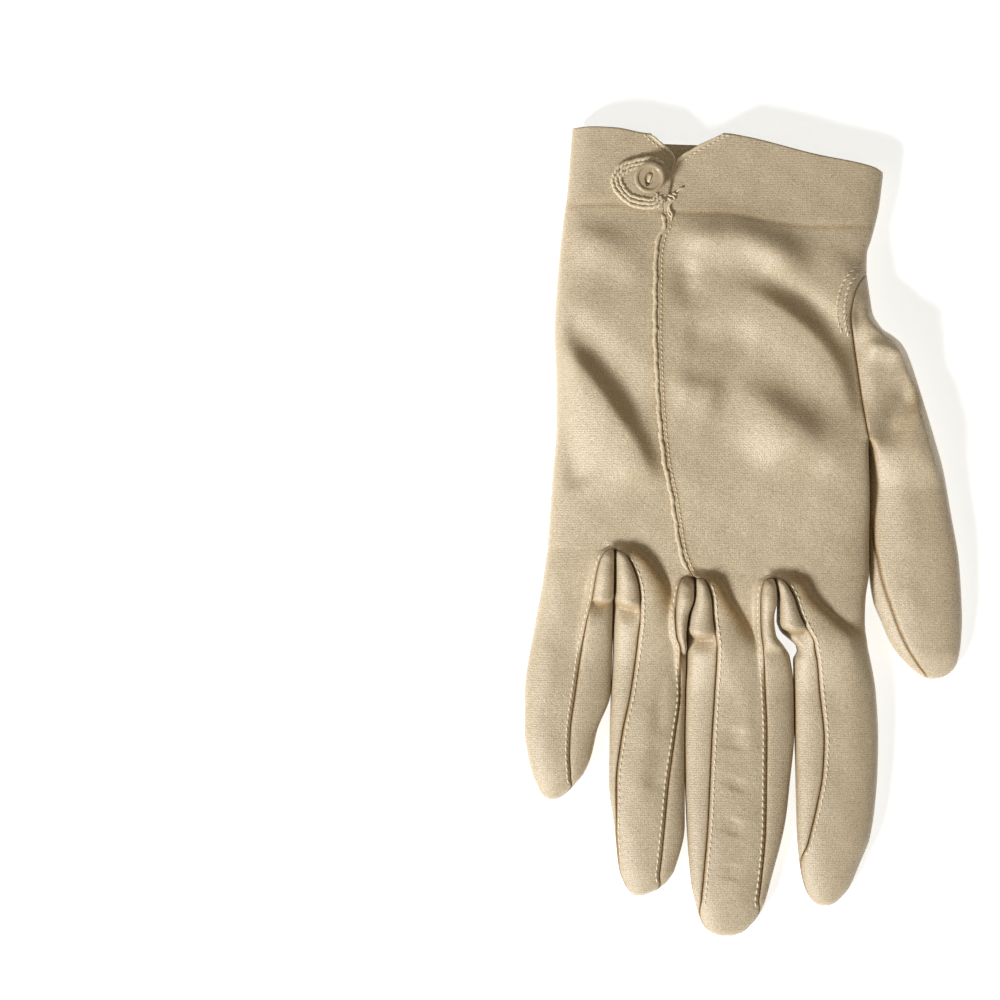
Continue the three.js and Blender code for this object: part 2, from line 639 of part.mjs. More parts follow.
function tabRidge(inset) {
  const points = Array.from({ length: RIDGE.steps + 1 }, (_, k) => {
    const place = tabPlace(THREE.MathUtils.lerp(RIDGE.from, RIDGE.to, k / RIDGE.steps), inset);
    const z = backHeight(place.x, place.y) + 2 * SEAM_GAP + TAB.thickness + RIDGE.radius + 0.05;
    return new THREE.Vector3(place.x, place.y, z);
  });
  const section = new THREE.Shape();
  for (let k = 0; k < RIDGE.sides; k += 1) {
    const angle = (2 * Math.PI * k) / RIDGE.sides;
    const corner = [RIDGE.radius * Math.cos(angle), RIDGE.radius * Math.sin(angle)];
    if (k === 0) section.moveTo(...corner);
    else section.lineTo(...corner);
  }
  const path = new THREE.CatmullRomCurve3(points);
  return plain(new THREE.ExtrudeGeometry(section, { steps: RIDGE.steps, extrudePath: path, bevelEnabled: false }));
}

function plain(geometry) {
  const shape = geometry.clone();
  shape.deleteAttribute('normal');
  shape.deleteAttribute('uv');
  return facingOut(shape.index ? shape : mergeVertices(shape, 1e-4));
}

function solid(geometry) {
  const merged = plain(geometry);
  const vertProperties = Float32Array.from(merged.getAttribute('position').array);
  const triVerts = Uint32Array.from(merged.getIndex().array);
  return new wasm.Manifold(new wasm.Mesh({ numProp: 3, vertProperties, triVerts }));
}

function geometryOf(manifold) {
  const mesh = manifold.getMesh();
  const geometry = new THREE.BufferGeometry();
  geometry.setAttribute('position', new THREE.BufferAttribute(Float32Array.from(mesh.vertProperties), 3));
  geometry.setIndex(new THREE.BufferAttribute(Uint32Array.from(mesh.triVerts), 1));
  geometry.computeVertexNormals();
  return geometry;
}

function buttonBase() {
  return backHeight(BUTTON.x, BUTTON.y) + 2 * SEAM_GAP + TAB.thickness + BUTTON.lift;
}

function holeCentres() {
  return [-1, 1].map((side) => new THREE.Vector2(
    BUTTON.x + (side * HOLE.spacing * Math.cos(EYE.tilt)) / 2,
    BUTTON.y + (side * HOLE.spacing * Math.sin(EYE.tilt)) / 2,
  ));
}

function upright(radius, fromZ, toZ, place, sides) {
  const rod = new THREE.CylinderGeometry(radius, radius, toZ - fromZ, sides);
  rod.rotateX(Math.PI / 2);
  rod.translate(place.x, place.y, (fromZ + toZ) / 2);
  return rod;
}

function button() {
  const base = buttonBase();
  const top = base + BUTTON.thickness;
  const profile = [
    new THREE.Vector2(0, base),
    new THREE.Vector2(BUTTON.radius * 0.72, base),
    new THREE.Vector2(BUTTON.radius * 0.96, base + BUTTON.thickness * 0.3),
    new THREE.Vector2(BUTTON.radius, base + BUTTON.thickness * 0.6),
    new THREE.Vector2(BUTTON.radius - BUTTON.rim * 0.35, top),
    new THREE.Vector2(BUTTON.radius - BUTTON.rim, top),
    new THREE.Vector2(BUTTON.radius - BUTTON.rim * 1.6, top - BUTTON.dish),
    new THREE.Vector2(0, top - BUTTON.dish),
  ];
  const disc = new THREE.LatheGeometry(profile, 32);
  disc.rotateX(Math.PI / 2);
  disc.translate(BUTTON.x, BUTTON.y, 0);
  const eye = upright(1, top - BUTTON.dish - EYE.depth, top + 1, new THREE.Vector2(0, 0), 20);
  eye.scale(EYE.length / 2, EYE.width / 2, 1);
  eye.rotateZ(EYE.tilt);
  eye.translate(BUTTON.x, BUTTON.y, 0);
  let shape = solid(disc).subtract(solid(eye));
  for (const place of holeCentres()) {
    shape = shape.subtract(solid(upright(HOLE.radius, base - 1, top + 1, place, 12)));
  }
  return geometryOf(shape);
}

function buttonThread() {
  const foot = backHeight(BUTTON.x, BUTTON.y) + SEAM_GAP;
  const base = buttonBase();
  const barZ = base + BUTTON.thickness - BUTTON.dish - EYE.depth + SEAM_GAP + THREAD.radius;
  const bar = upright(THREAD.radius, -HOLE.spacing / 2, HOLE.spacing / 2, new THREE.Vector2(0, 0), 8);
  bar.rotateY(Math.PI / 2);
  bar.rotateZ(EYE.tilt);
  bar.translate(BUTTON.x, BUTTON.y, barZ);
  let shape = solid(bar);
  for (const place of holeCentres()) {
    shape = shape.add(solid(upright(THREAD.radius, base - SEAM_GAP - 0.5, barZ, place, 8)));
  }
  const post = upright(THREAD.postRadius, foot, base - SEAM_GAP, BUTTON, 12);
  return geometryOf(shape.add(solid(post)));
}

const littleStrips = [
  { name: 'little', count: 7 },
  { name: 'ring', count: 4 },
];
const indexStrips = [
  { name: 'middle', count: 4 },
  { name: 'index', count: 7 },
];
const palmStrips = [
  { name: 'little', count: 5 },
  { name: 'ring', count: 2 },
  { name: 'middle', count: 2 },
  { name: 'index', count: 5 },
];
addPiece('back_little_side', handPanel(littleStrips, false), BACK_CLOTH);
addPiece('back_index_side', handPanel(indexStrips, false), BACK_CLOTH);
addPiece('palm', handPanel(palmStrips, true), PALM_CLOTH);
addPiece('fourchette_little_inner', fourchette(FINGERS.little, 1, 4), SIDE_CLOTH);
addPiece('fourchette_ring_outer', fourchette(FINGERS.ring, -1, 4), SIDE_CLOTH);
addPiece('fourchette_ring_inner', fourchette(FINGERS.ring, 1, 4), SIDE_CLOTH);
addPiece('fourchette_middle_outer', fourchette(FINGERS.middle, -1, 4), SIDE_CLOTH);
addPiece('fourchette_middle_inner', fourchette(FINGERS.middle, 1, 4), SIDE_CLOTH);
addPiece('fourchette_index_inner', fourchette(FINGERS.index, -1, 4), SIDE_CLOTH);
addPiece('thumb_upper', thumbPanel(false, 7), BACK_CLOTH);
addPiece('thumb_lower', thumbPanel(true, 5), PALM_CLOTH);
addPiece('hem_little_side', hemLayer(littleStrips, false), PALM_CLOTH);
addPiece('hem_index_side', hemLayer(indexStrips, false), PALM_CLOTH);
addPiece('hem_palm', hemLayer(palmStrips, true), PALM_CLOTH);
addPiece('centre_seam_welt', centreSeamWelt(), TRIM_CLOTH);
addPiece('button_tab', buttonTab(), TRIM_CLOTH);
const ridgeNames = ['tab_ridge_outer', 'tab_ridge_middle', 'tab_ridge_inner'];
ridgeNames.forEach((name, k) => addPiece(name, tabRidge(RIDGE.insets[k]), TRIM_CLOTH));
const shell = (colour) => new THREE.MeshStandardMaterial({ color: colour, roughness: 0.35, metalness: 0 });
addPiece('button', button(), BUTTON_SHELL, shell);
addPiece('button_thread', buttonThread(), TRIM_CLOTH);

export default group;
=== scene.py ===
"""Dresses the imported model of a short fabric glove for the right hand, lying palm down.

The tables hold real sizes in millimetres, and every mesh is in metres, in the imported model's frame:
+X points to the thumb side, +Y to the cuff and +Z up out of the back of the hand.
"""

from __future__ import annotations

import logging
import math
from collections.abc import Iterable
from dataclasses import dataclass, field
from enum import Enum
from typing import TypeAlias

import bpy
import numpy as np
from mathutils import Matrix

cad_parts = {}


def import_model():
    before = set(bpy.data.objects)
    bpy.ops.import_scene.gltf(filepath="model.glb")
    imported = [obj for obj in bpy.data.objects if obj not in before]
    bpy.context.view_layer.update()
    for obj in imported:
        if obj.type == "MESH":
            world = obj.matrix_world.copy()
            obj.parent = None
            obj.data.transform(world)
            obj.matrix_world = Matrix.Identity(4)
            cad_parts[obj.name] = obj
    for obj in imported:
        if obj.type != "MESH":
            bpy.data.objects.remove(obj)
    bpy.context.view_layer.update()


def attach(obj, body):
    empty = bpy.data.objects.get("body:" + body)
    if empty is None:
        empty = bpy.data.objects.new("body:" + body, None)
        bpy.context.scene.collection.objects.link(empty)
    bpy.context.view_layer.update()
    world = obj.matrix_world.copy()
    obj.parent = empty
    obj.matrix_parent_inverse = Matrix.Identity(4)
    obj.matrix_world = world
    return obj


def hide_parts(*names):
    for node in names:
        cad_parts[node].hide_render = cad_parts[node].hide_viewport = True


Array: TypeAlias = np.ndarray
Colour: TypeAlias = tuple[float, float, float, float]
Material: TypeAlias = bpy.types.Material
Object: TypeAlias = bpy.types.Object
Socket: TypeAlias = bpy.types.NodeSocket

LOG = logging.getLogger("glove")
MM = 0.001
BODY = "root"

# Section shape of the cloth
BACK_BEND = 4.6
PALM_BEND = 4.0
PALM_FLAT_SHARE = 1.04
PALM_SEAM_SHARE = 0.8
HAND_WAIST = 4.6
WAIST_SHARE = 0.46
SIDE_EASE = 6.0
FORK_EASE = 14.0
WALL = 0.9
SIDE_ROOM = 0.02
SEAM_ROOM = 0.05
FLOOR_LEVEL = -0.05
WAIST_ROOM = 0.12

# Places along the hand, as shares of the way from the finger forks (0) to the cuff's edge (1)
ARC_TOP = 0.735
ARC_END = 0.345

# Places in millimetres: across the hand, then along it
LITTLE_X = -52.0
CENTRE_X = -20.0
ARC_X = 33.0
INDEX_X = 36.0
WELT_START_Y = 91.0
NOTCH_FOOT_Y = 93.0
NOTCH_STITCH_Y = 104.6
NOTCH_TOP_Y = 113.1
FORK_CLEAR_Y = -11.0
ARC_TOP_Y = 73.6
ARC_FOOT_Y = 28.0
HAND_LENGTH = 120.0

FINE_STEPS = 240
FOLD_STEPS = 25
TIP_LENGTH = 1.4
TINY = 1e-9


class Side(Enum):
    """Side of a finger, as seen on the back of the lying glove."""

    LEFT = -1
    RIGHT = 1


class Face(Enum):
    """Upper or under side of the glove."""

    BACK = 1
    PALM = -1


class Finish(Enum):
    """Finishes that the pieces are made in."""

    KNIT = "knit_fabric"
    TAB = "tab_fabric"
    SEAM = "seam_thread"
    BUTTON = "button_shell"
    THREAD = "button_thread"


def smooth_step(low: float, high: float, value: Array) -> Array:
    """Ease from 0 at low to 1 at high, with level ends, by the cubic 3t^2 - 2t^3."""
    t = np.clip((value - low) / (high - low), 0.0, 1.0)
    return t * t * (3.0 - 2.0 * t)


def mix(start: Array, stop: Array, share: Array) -> Array:
    """Straight blend from start to stop."""
    return start + (stop - start) * share


def bell(distance: Array, width: Array | float) -> Array:
    """Bell curve exp(-(d / width)^2) of a distance d."""
    return np.exp(-((distance / width) ** 2))


@dataclass(frozen=True)
class Table:
    """Rows of named sizes, read through a smooth curve that never overshoots.

    The first column is the key. Between two rows the curve is a cubic whose slopes at the rows are the
    harmonic means of the slopes beside them, or level where those differ in sign.
    """

    columns: tuple[str, ...]
    rows: tuple[tuple[float, ...], ...]

    def at(self, column: str, place: Array) -> Array:
        """Read one column.

        Args:
            column: Name of the column.
            place: Places along the key column.

        Returns:
            Values of the column at those places, level beyond the first and last rows.
        """
        data = np.array(sorted(self.rows))
        keys = data[:, 0]
        values = data[:, self.columns.index(column)]
        slopes = np.diff(values) / np.diff(keys)
        product = slopes[:-1] * slopes[1:]
        total = np.where(product > 0.0, slopes[:-1] + slopes[1:], 1.0)
        inner = np.where(product > 0.0, 2.0 * product / total, 0.0)
        bends = np.concatenate([slopes[:1], inner, slopes[-1:]])
        where = np.clip(np.asarray(place, dtype=float), keys[0], keys[-1])
        low = np.clip(np.searchsorted(keys, where, side="right") - 1, 0, len(keys) - 2)
        span = keys[low + 1] - keys[low]
        t = (where - keys[low]) / span
        start = values[low] * (1 + 2 * t) * (1 - t) ** 2 + bends[low] * span * t * (1 - t) ** 2
        end = values[low + 1] * t * t * (3 - 2 * t) + bends[low + 1] * span * t * t * (t - 1)
        return start + end

    def first(self) -> float:
        """Key of the row nearest the cuff."""
        return max(row[0] for row in self.rows)

    def last(self) -> float:
        """Key of the row nearest the fingertip."""
        return min(row[0] for row in self.rows)


def smooth_line(knots: tuple[tuple[float, float], ...], count: int) -> list[Array]:
    """Smooth curve through some places."""
    at = np.linspace(0.0, 1.0, len(knots))
    line = Table(("at", "x", "y"), tuple((share, *knot) for share, knot in zip(at, knots)))
    return [line.at(column, np.linspace(0.0, 1.0, count)) for column in ("x", "y")]


@dataclass(frozen=True)
class Fold:
    """A soft ridge (height above 0) or dent (below 0) along a curved crest.

    Its height falls off as exp(-(d / width)^2) with the distance d from the crest, with a width of its own
    on each side, and eases out at both ends.
    """

    crest: tuple[tuple[float, float], ...]
    height: float
    left_width: float
    right_width: float
    # Strength of the painted shade on the crest's shaded left side
    painted_shade: float = 0.0
    ease: float = 0.22

    def measure(self, x: Array, y: Array) -> tuple[Array, Array]:
        """Distance from the crest, above 0 on its left, and how far the ends are eased in.

        Args:
            x: Places across the glove.
            y: Places along the glove.

        Returns:
            Signed distances in millimetres and shares from 0 to 1, in the shape of x.
        """
        points = np.stack(smooth_line(self.crest, FOLD_STEPS), axis=1)
        place = np.stack([x.ravel(), y.ravel()], axis=1)
        nearest = np.full(len(place), np.inf)
        signed = np.zeros(len(place))
        along = np.zeros(len(place))
        for number, (start, stop) in enumerate(zip(points[:-1], points[1:])):
            step = stop - start
            share = np.clip((place - start) @ step / (step @ step), 0.0, 1.0)
            gap = place - start - share[:, None] * step
            distance = np.hypot(gap[:, 0], gap[:, 1])
            turn = step[0] * (place[:, 1] - start[1]) - step[1] * (place[:, 0] - start[0])
            closer = distance < nearest
            nearest = np.where(closer, distance, nearest)
            signed = np.where(closer, np.sign(turn) * distance, signed)
            along = np.where(closer, (number + share) / (len(points) - 1), along)
        ends = smooth_step(0.0, self.ease, along) * (1.0 - smooth_step(1.0 - self.ease, 1.0, along))
        return signed.reshape(x.shape), ends.reshape(x.shape)

    def rise(self, x: Array, y: Array) -> Array:
        """Height that the fold adds at some places."""
        signed, ends = self.measure(x, y)
        width = np.where(signed > 0.0, self.left_width, self.right_width)
        return self.height * ends * bell(signed, width)

    def tint(self, x: Array, y: Array) -> Array:
        """Painted shade on the fold's shaded left slope, strongest at 0.8 of its width from the crest."""
        signed, ends = self.measure(x, y)
        return self.painted_shade * ends * bell(signed - 0.8 * self.left_width, 0.6 * self.left_width)


@dataclass
class Sections:
    """Cross-sections of a hollow form, one for each row, as columns of numbers.

    A section is a rounded box: its upper half is |u|^bend + |v|^bend = 1 over the widest place (the waist),
    and its lower half is the same with PALM_BEND, cut flat where it rests.
    """

    left: Array
    right: Array
    height: Array
    waist: Array
    bend: Array
    right_bend: Array | None = None
    centre: Array | None = None
    closing: Array | float = 1.0

    def bend_at(self, side: Array) -> Array:
        """Squareness of the upper half on the left (side below 0) or on the right."""
        return self.bend if self.right_bend is None else np.where(side > 0.0, self.right_bend, self.bend)

    def middle(self) -> Array:
        """Place of the highest point: the centre, or halfway between the edges."""
        return (self.left + self.right) / 2.0 if self.centre is None else self.centre

    def reach(self, side: Array) -> Array:
        """Distance from the middle to the left edge (side below 0) or to the right edge."""
        return np.where(side > 0.0, self.right - self.middle(), self.middle() - self.left)

    def half(self) -> Array:
        """Half of the width."""
        return (self.right - self.left) / 2.0

    def point(self, turn: Array) -> tuple[Array, Array, Array]:
        """Points of the sections at some turns: 0 at the right edge, a quarter turn on top.

        Args:
            turn: Angles in radians, one row for each section.

        Returns:
            Places across, heights, and how near each point is to the top, from 0 to 1.
        """
        across, up = np.cos(turn), np.sin(turn)
        bend = np.where(up >= 0.0, self.bend_at(across), PALM_BEND)
        reach = (np.abs(across) ** bend + np.abs(up) ** bend) ** (-1.0 / bend)
        rise = np.abs(up) * reach * self.closing
        over = self.waist + (self.height - self.waist) * rise
        under = self.waist * (1.0 - np.minimum(1.0, PALM_FLAT_SHARE * rise))
        x = self.middle() + self.reach(across) * across * reach
        return x, np.where(up >= 0.0, over, under), np.where(up >= 0.0, rise, 0.0)

    def turn_at(self, x: Array, face: Face) -> Array:
        """Turn where the section passes a place across.

        Args:
            x: Places across, one column.
            face: Whether the point is on the back or on the palm side.

        Returns:
            Angles in radians, from 0 to half a turn on the back and the rest on the palm side.
        """
        away = x - self.middle()
        share = np.clip(away / self.reach(away), -1.0, 1.0)
        bend = self.bend_at(share) if face is Face.BACK else PALM_BEND
        turn = np.arctan2((1.0 - np.abs(share) ** bend) ** (1.0 / bend), share)
        return turn if face is Face.BACK else 2.0 * math.pi - turn

    def side_turn(self, side: Side, face: Face) -> Array:
        """Turn where a piece ends at the side: at the waist on the back, just under it on the palm side.

        Args:
            side: Side of the section.
            face: Upper or under piece.

        Returns:
            One column of angles in radians, counted past half a turn under the waist.
        """
        if face is Face.BACK:
            return np.full_like(self.waist, math.pi if side is Side.LEFT else 0.0)
        rise = WAIST_ROOM / (self.waist * PALM_FLAT_SHARE)
        turn = np.arctan2(rise, (1.0 - np.clip(rise, 0.0, 1.0) ** PALM_BEND) ** (1.0 / PALM_BEND))
        return math.pi + turn if side is Side.LEFT else 2.0 * math.pi - turn

    def height_at(self, x: Array, face: Face = Face.BACK) -> Array:
        """Height of the sections' upper or under side over places across.

        Args:
            x: Places across.
            face: Upper or under side.

        Returns:
            Heights in millimetres.
        """
        side = x - self.middle()
        bend = self.bend_at(side)
        share = np.clip(np.abs(side) / self.reach(side), 0.0, 1.0)
        if face is Face.PALM:
            rise = (1.0 - share**PALM_BEND) ** (1.0 / PALM_BEND)
            return self.waist * (1.0 - np.minimum(1.0, PALM_FLAT_SHARE * rise))
        return self.waist + (self.height - self.waist) * (1.0 - share**bend) ** (1.0 / bend)


def tip_closing(y: Array, tip_y: float) -> Array:
    """Share of a section's height that is left near a tip: a quarter circle over TIP_LENGTH."""
    gone = np.clip(1.0 - (y - tip_y) / TIP_LENGTH, 0.0, 1.0)
    return np.sqrt(1.0 - gone**2)[:, None]


def even_turns(sections: Sections, start: Array, stop: Array, count: int, crowd: float) -> Array:
    """Turns that cut each section into even steps, a little closer together at both ends.

    Args:
        sections: The sections, one for each row.
        start: Turn of the first column.
        stop: Turn of the last column.
        count: Number of steps.
        crowd: From 0, even, towards 1, crowded at the ends.

    Returns:
        Angles in radians, one row for each section.
    """
    turns = start + (stop - start) * np.linspace(0.0, 1.0, FINE_STEPS)[None, :]
    x, z, _ = sections.point(turns)
    length = np.pad(np.cumsum(np.hypot(np.diff(x), np.diff(z)), axis=1), ((0, 0), (1, 0)))
    length /= length[:, -1:]
    share = np.linspace(0.0, 1.0, count + 1)
    share = share - crowd * np.sin(2.0 * math.pi * share) / (2.0 * math.pi)
    row = 2.0 * np.arange(len(turns))[:, None]
    goal = np.clip(share[None, :], TINY, 1.0 - TINY) + row
    return np.interp(goal.ravel(), (length + row).ravel(), turns.ravel()).reshape(goal.shape)


@dataclass
class Grid:
    """Points of a cloth surface in rows and columns, with the way its weave runs.

    Rows run from the cuff to the fingertip. `turned` is true where the columns run so that the plain
    winding would face inwards.
    """

    x: Array
    y: Array
    z: Array
    turned: bool = False
    # Share of painted shade for each point
    tint: Array | None = None

    def points(self) -> Array:
        """All points, row by row."""
        return np.stack([self.x.ravel(), self.y.ravel(), self.z.ravel()], axis=1)

    def cloth(self) -> list[Array]:
        """Points, faces, weave and painted shade of the surface, as add_mesh takes them."""
        return [self.points(), self.faces(), self.weave(), self.tint]

    def across(self) -> Array:
        """Length across the cloth from its first column."""
        step = np.sqrt(np.diff(self.x) ** 2 + np.diff(self.y) ** 2 + np.diff(self.z) ** 2)
        return np.pad(np.cumsum(step, axis=1), ((0, 0), (1, 0)))

    def weave(self) -> Array:
        """Place on the cloth for each point: across it from the row's middle, and down along Y."""
        middle = self.x.shape[1] // 2
        length = self.across()
        over = length - length[:, middle][:, None] + self.x[:, middle][:, None]
        return np.stack([over.ravel(), -self.y.ravel()], axis=1)

    def faces(self, first: int = 0) -> Array:
        """Point numbers from `first` of the four-cornered faces, which wind so that they face outwards."""
        number = first + np.arange(self.x.size).reshape(self.x.shape)
        corners = [number[:-1, :-1], number[1:, :-1], number[1:, 1:], number[:-1, 1:]]
        cells = np.stack(corners, axis=2).reshape(-1, 4)
        return cells[:, ::-1] if self.turned else cells

    def path(self, distance: float, side: Side) -> Array:
        """Line on the cloth at a distance from its first or last column.

        Args:
            distance: Distance across the cloth in millimetres.
            side: LEFT counts from the first column, RIGHT from the last.

        Returns:
            Points of the line, one for each row.
        """
        length = self.across()
        goal = distance if side is Side.LEFT else length[:, -1] - distance
        row = 1e4 * np.arange(len(length))
        want = np.clip(goal, 0.0, length[:, -1]) + row
        known = (length + row[:, None]).ravel()
        parts = [np.interp(want, known, part.ravel()) for part in (self.x, self.y, self.z)]
        return np.stack(parts, axis=1)


def add_mesh(
    name: str,
    points: Array,
    faces: Array,
    weave: Array | None = None,
    tint: Array | None = None,
) -> Object:
    """Make a smooth mesh object at the origin.

    Args:
        name: Name of the piece.
        points: Points in millimetres.
        faces: Point numbers, four for each face.
        weave: Place on the cloth for each point in millimetres, kept as a UV map.
        tint: Share of painted shade for each point, kept as an attribute.

    Returns:
        The new object, linked to the scene.
    """
    mesh = bpy.data.meshes.new(name)
    mesh.vertices.add(len(points))
    mesh.vertices.foreach_set("co", (points * MM).astype(np.float32).ravel())
    mesh.loops.add(faces.size)
    mesh.loops.foreach_set("vertex_index", faces.astype(np.int32).ravel())
    mesh.polygons.add(len(faces))
    mesh.polygons.foreach_set("loop_start", np.arange(0, faces.size, 4, dtype=np.int32))
    mesh.polygons.foreach_set("use_smooth", np.ones(len(faces), dtype=bool))
    if weave is not None:
        layer = mesh.uv_layers.new(name="weave")
        layer.data.foreach_set("uv", (weave[faces.ravel()] * MM).astype(np.float32).ravel())
    if tint is not None:
        shares = mesh.attributes.new("painted_shade", "FLOAT", "POINT")
        shares.data.foreach_set("value", np.clip(tint, 0.0, 1.0).astype(np.float32).ravel())
    mesh.update(calc_edges=True)
    mesh.validate()
    piece = bpy.data.objects.new(name, mesh)
    bpy.context.scene.collection.objects.link(piece)
    return piece


def circle(sides: int) -> Array:
    """Even turns round a circle, as one row."""
    return 2.0 * math.pi * np.arange(sides)[None, :] / sides


def length_along(path: Array) -> Array:
    """Length along a path at each of its points, as a column."""
    return np.pad(np.cumsum(np.linalg.norm(np.diff(path, axis=0), axis=1)), (1, 0))[:, None]


def end_taper(length: Array, reach: float, least: float) -> Array:
    """Share of a cord's size: `least` at both ends, more by 1 for each `reach` of length, up to 1."""
    return np.minimum(1.0, np.minimum(length, length[-1] - length) / reach + least)


def tube_faces(stations: int, sides: int) -> Array:
    """Point numbers of a tube's faces, for points that run round it station by station."""
    number = np.arange(stations * sides).reshape(stations, sides)
    after = np.roll(number, -1, axis=1)
    return np.stack([number[:-1], after[:-1], after[1:], number[1:]], axis=2).reshape(-1, 4)


def carried_profile(path: Array, across: Array, up: Array) -> tuple[Array, Array]:
    """Carry a closed profile along a path.

    The profile lies across the path: `across` counts along the level normal of the path and `up` along Z.

    Args:
        path: Points of the path, one for each station.
        across: Level offsets, stations by sides.
        up: Upward offsets, stations by sides.

    Returns:
        Points and faces of the tube, its ends closed by fans of narrow faces.
    """
    ahead = np.gradient(path, axis=0)
    level = np.stack([ahead[:, 1], -ahead[:, 0]], axis=1)
    level /= np.maximum(np.linalg.norm(level, axis=1, keepdims=True), TINY)
    parts = [path[:, :1] + level[:, :1] * across, path[:, 1:2] + level[:, 1:] * across, path[:, 2:] + up]
    points = np.concatenate([np.stack(parts, axis=2).reshape(-1, 3), path[:1], path[-1:]])
    stations, sides = across.shape
    pair = np.arange(sides).reshape(-1, 2)
    cap = np.stack([pair[:, 0], pair[:, 1], np.roll(pair[:, 0], -1)], axis=1)
    near = np.insert(cap, 0, len(points) - 2, axis=1)[:, ::-1]
    far = np.insert(cap + (stations - 1) * sides, 0, len(points) - 1, axis=1)
    return points, np.concatenate([tube_faces(stations, sides), near, far])


def round_cord(
    path: Array, size: Array | float, sides: int = 8, lift: float = 0.0
) -> tuple[Array, Array]:
    """Round cord along a path."""
    turn = circle(sides)
    size = size * np.ones((len(path), 1))
    return carried_profile(path, size * np.cos(turn), size * np.sin(turn) + lift)


def along_path(path: Array, spacing: float, margin: float) -> tuple[Array, Array]:
    """Places at even spacing along a path.

    Args:
        path: Points of the path.
        spacing: Distance between two places in millimetres.
        margin: Length left free at both ends.

    Returns:
        The places, and the unit direction of the path at each.
    """
    length = length_along(path)[:, 0]
    goal = np.arange(margin + spacing / 2.0, length[-1] - margin, spacing)
    places, before, after = (
        np.stack([np.interp(goal + shift, length, path[:, axis]) for axis in range(3)], axis=1)
        for shift in (0.0, -0.5, 0.5)
    )
    ahead = after - before
    return places, ahead / np.maximum(np.linalg.norm(ahead, axis=1, keepdims=True), TINY)


@dataclass(frozen=True)
class StitchRow:
    """A row of short machine stitches: grains of thread, one for each stitch, sunk at both ends."""

    path: Array
    pitch: float = 1.95
    length: float = 1.6
    width: float = 0.5
    lift: float = 0.1
    lean: float = 0.0
    margin: float = 0.4

    def mesh(self) -> tuple[Array, Array]:
        """Points and faces of all the stitches.

        Each stitch is a grain whose radius follows sin(pi t)^0.6 along its length t, bowed upwards.

        Returns:
            Points in millimetres and faces of four corners.
        """
        sides, stations = 6, 6
        places, ahead = along_path(self.path, self.pitch, self.margin)
        t = np.linspace(0.04, 0.96, stations)[:, None]
        turn = circle(sides)
        radius = self.width / 2.0 * np.sin(math.pi * t) ** 0.6
        forward = (t - 0.5) * self.length + 0.0 * turn
        level = radius * np.cos(turn)
        up = radius * np.sin(turn) * 0.8 + self.lift * np.sin(math.pi * t)
        side = np.stack([ahead[:, 1], -ahead[:, 0], 0.0 * ahead[:, 0]], axis=1)
        turned = ahead + self.lean * side
        turned /= np.linalg.norm(turned, axis=1, keepdims=True)
        beside = np.stack([turned[:, 1], -turned[:, 0], 0.0 * turned[:, 0]], axis=1)
        grain = (
            places[:, None, :]
            + forward.ravel()[None, :, None] * turned[:, None, :]
            + level.ravel()[None, :, None] * beside[:, None, :]
            + up.ravel()[None, :, None] * np.array([0.0, 0.0, 1.0])
        )
        near = np.array([[3, 2, 1, 0], [5, 4, 3, 0]])
        far = (stations - 1) * sides + np.array([[0, 1, 2, 3], [0, 3, 4, 5]])
        one = np.concatenate([tube_faces(stations, sides), near, far])
        shift = (stations * sides * np.arange(len(places)))[:, None, None]
        return grain.reshape(-1, 3), (one[None, :, :] + shift).reshape(-1, 4)


def join_meshes(parts: list[tuple[Array, Array]]) -> tuple[Array, Array]:
    """Put several meshes in one."""
    first = np.cumsum([0] + [len(points) for points, _ in parts])
    faces = [part_faces + start for (_, part_faces), start in zip(parts, first)]
    return np.concatenate([points for points, _ in parts]), np.concatenate(faces)


def dress(piece: Object, material: Material, finish: Finish, *nodes: str) -> None:
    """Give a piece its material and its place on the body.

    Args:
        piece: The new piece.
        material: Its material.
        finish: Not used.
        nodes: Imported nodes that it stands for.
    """
    if nodes:
        piece.name = piece.data.name = f"{nodes[0]}_surface"
    piece.data.materials.append(material)
    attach(piece, BODY)
    if nodes:
        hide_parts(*nodes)
    LOG.info("built %s: %d points", piece.name, len(piece.data.vertices))


def sew(
    node: str,
    cloth: list[Array],
    material: Material,
    wall: float = WALL,
) -> None:
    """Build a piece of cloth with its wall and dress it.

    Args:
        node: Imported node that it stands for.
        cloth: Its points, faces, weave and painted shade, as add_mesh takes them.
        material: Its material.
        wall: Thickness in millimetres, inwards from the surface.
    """
    piece = add_mesh(node, *cloth)
    solid = piece.modifiers.new("wall", "SOLIDIFY")
    solid.thickness = wall * MM
    solid.offset = -1.0
    solid.use_rim = True
    dress(piece, material, Finish.KNIT, node)


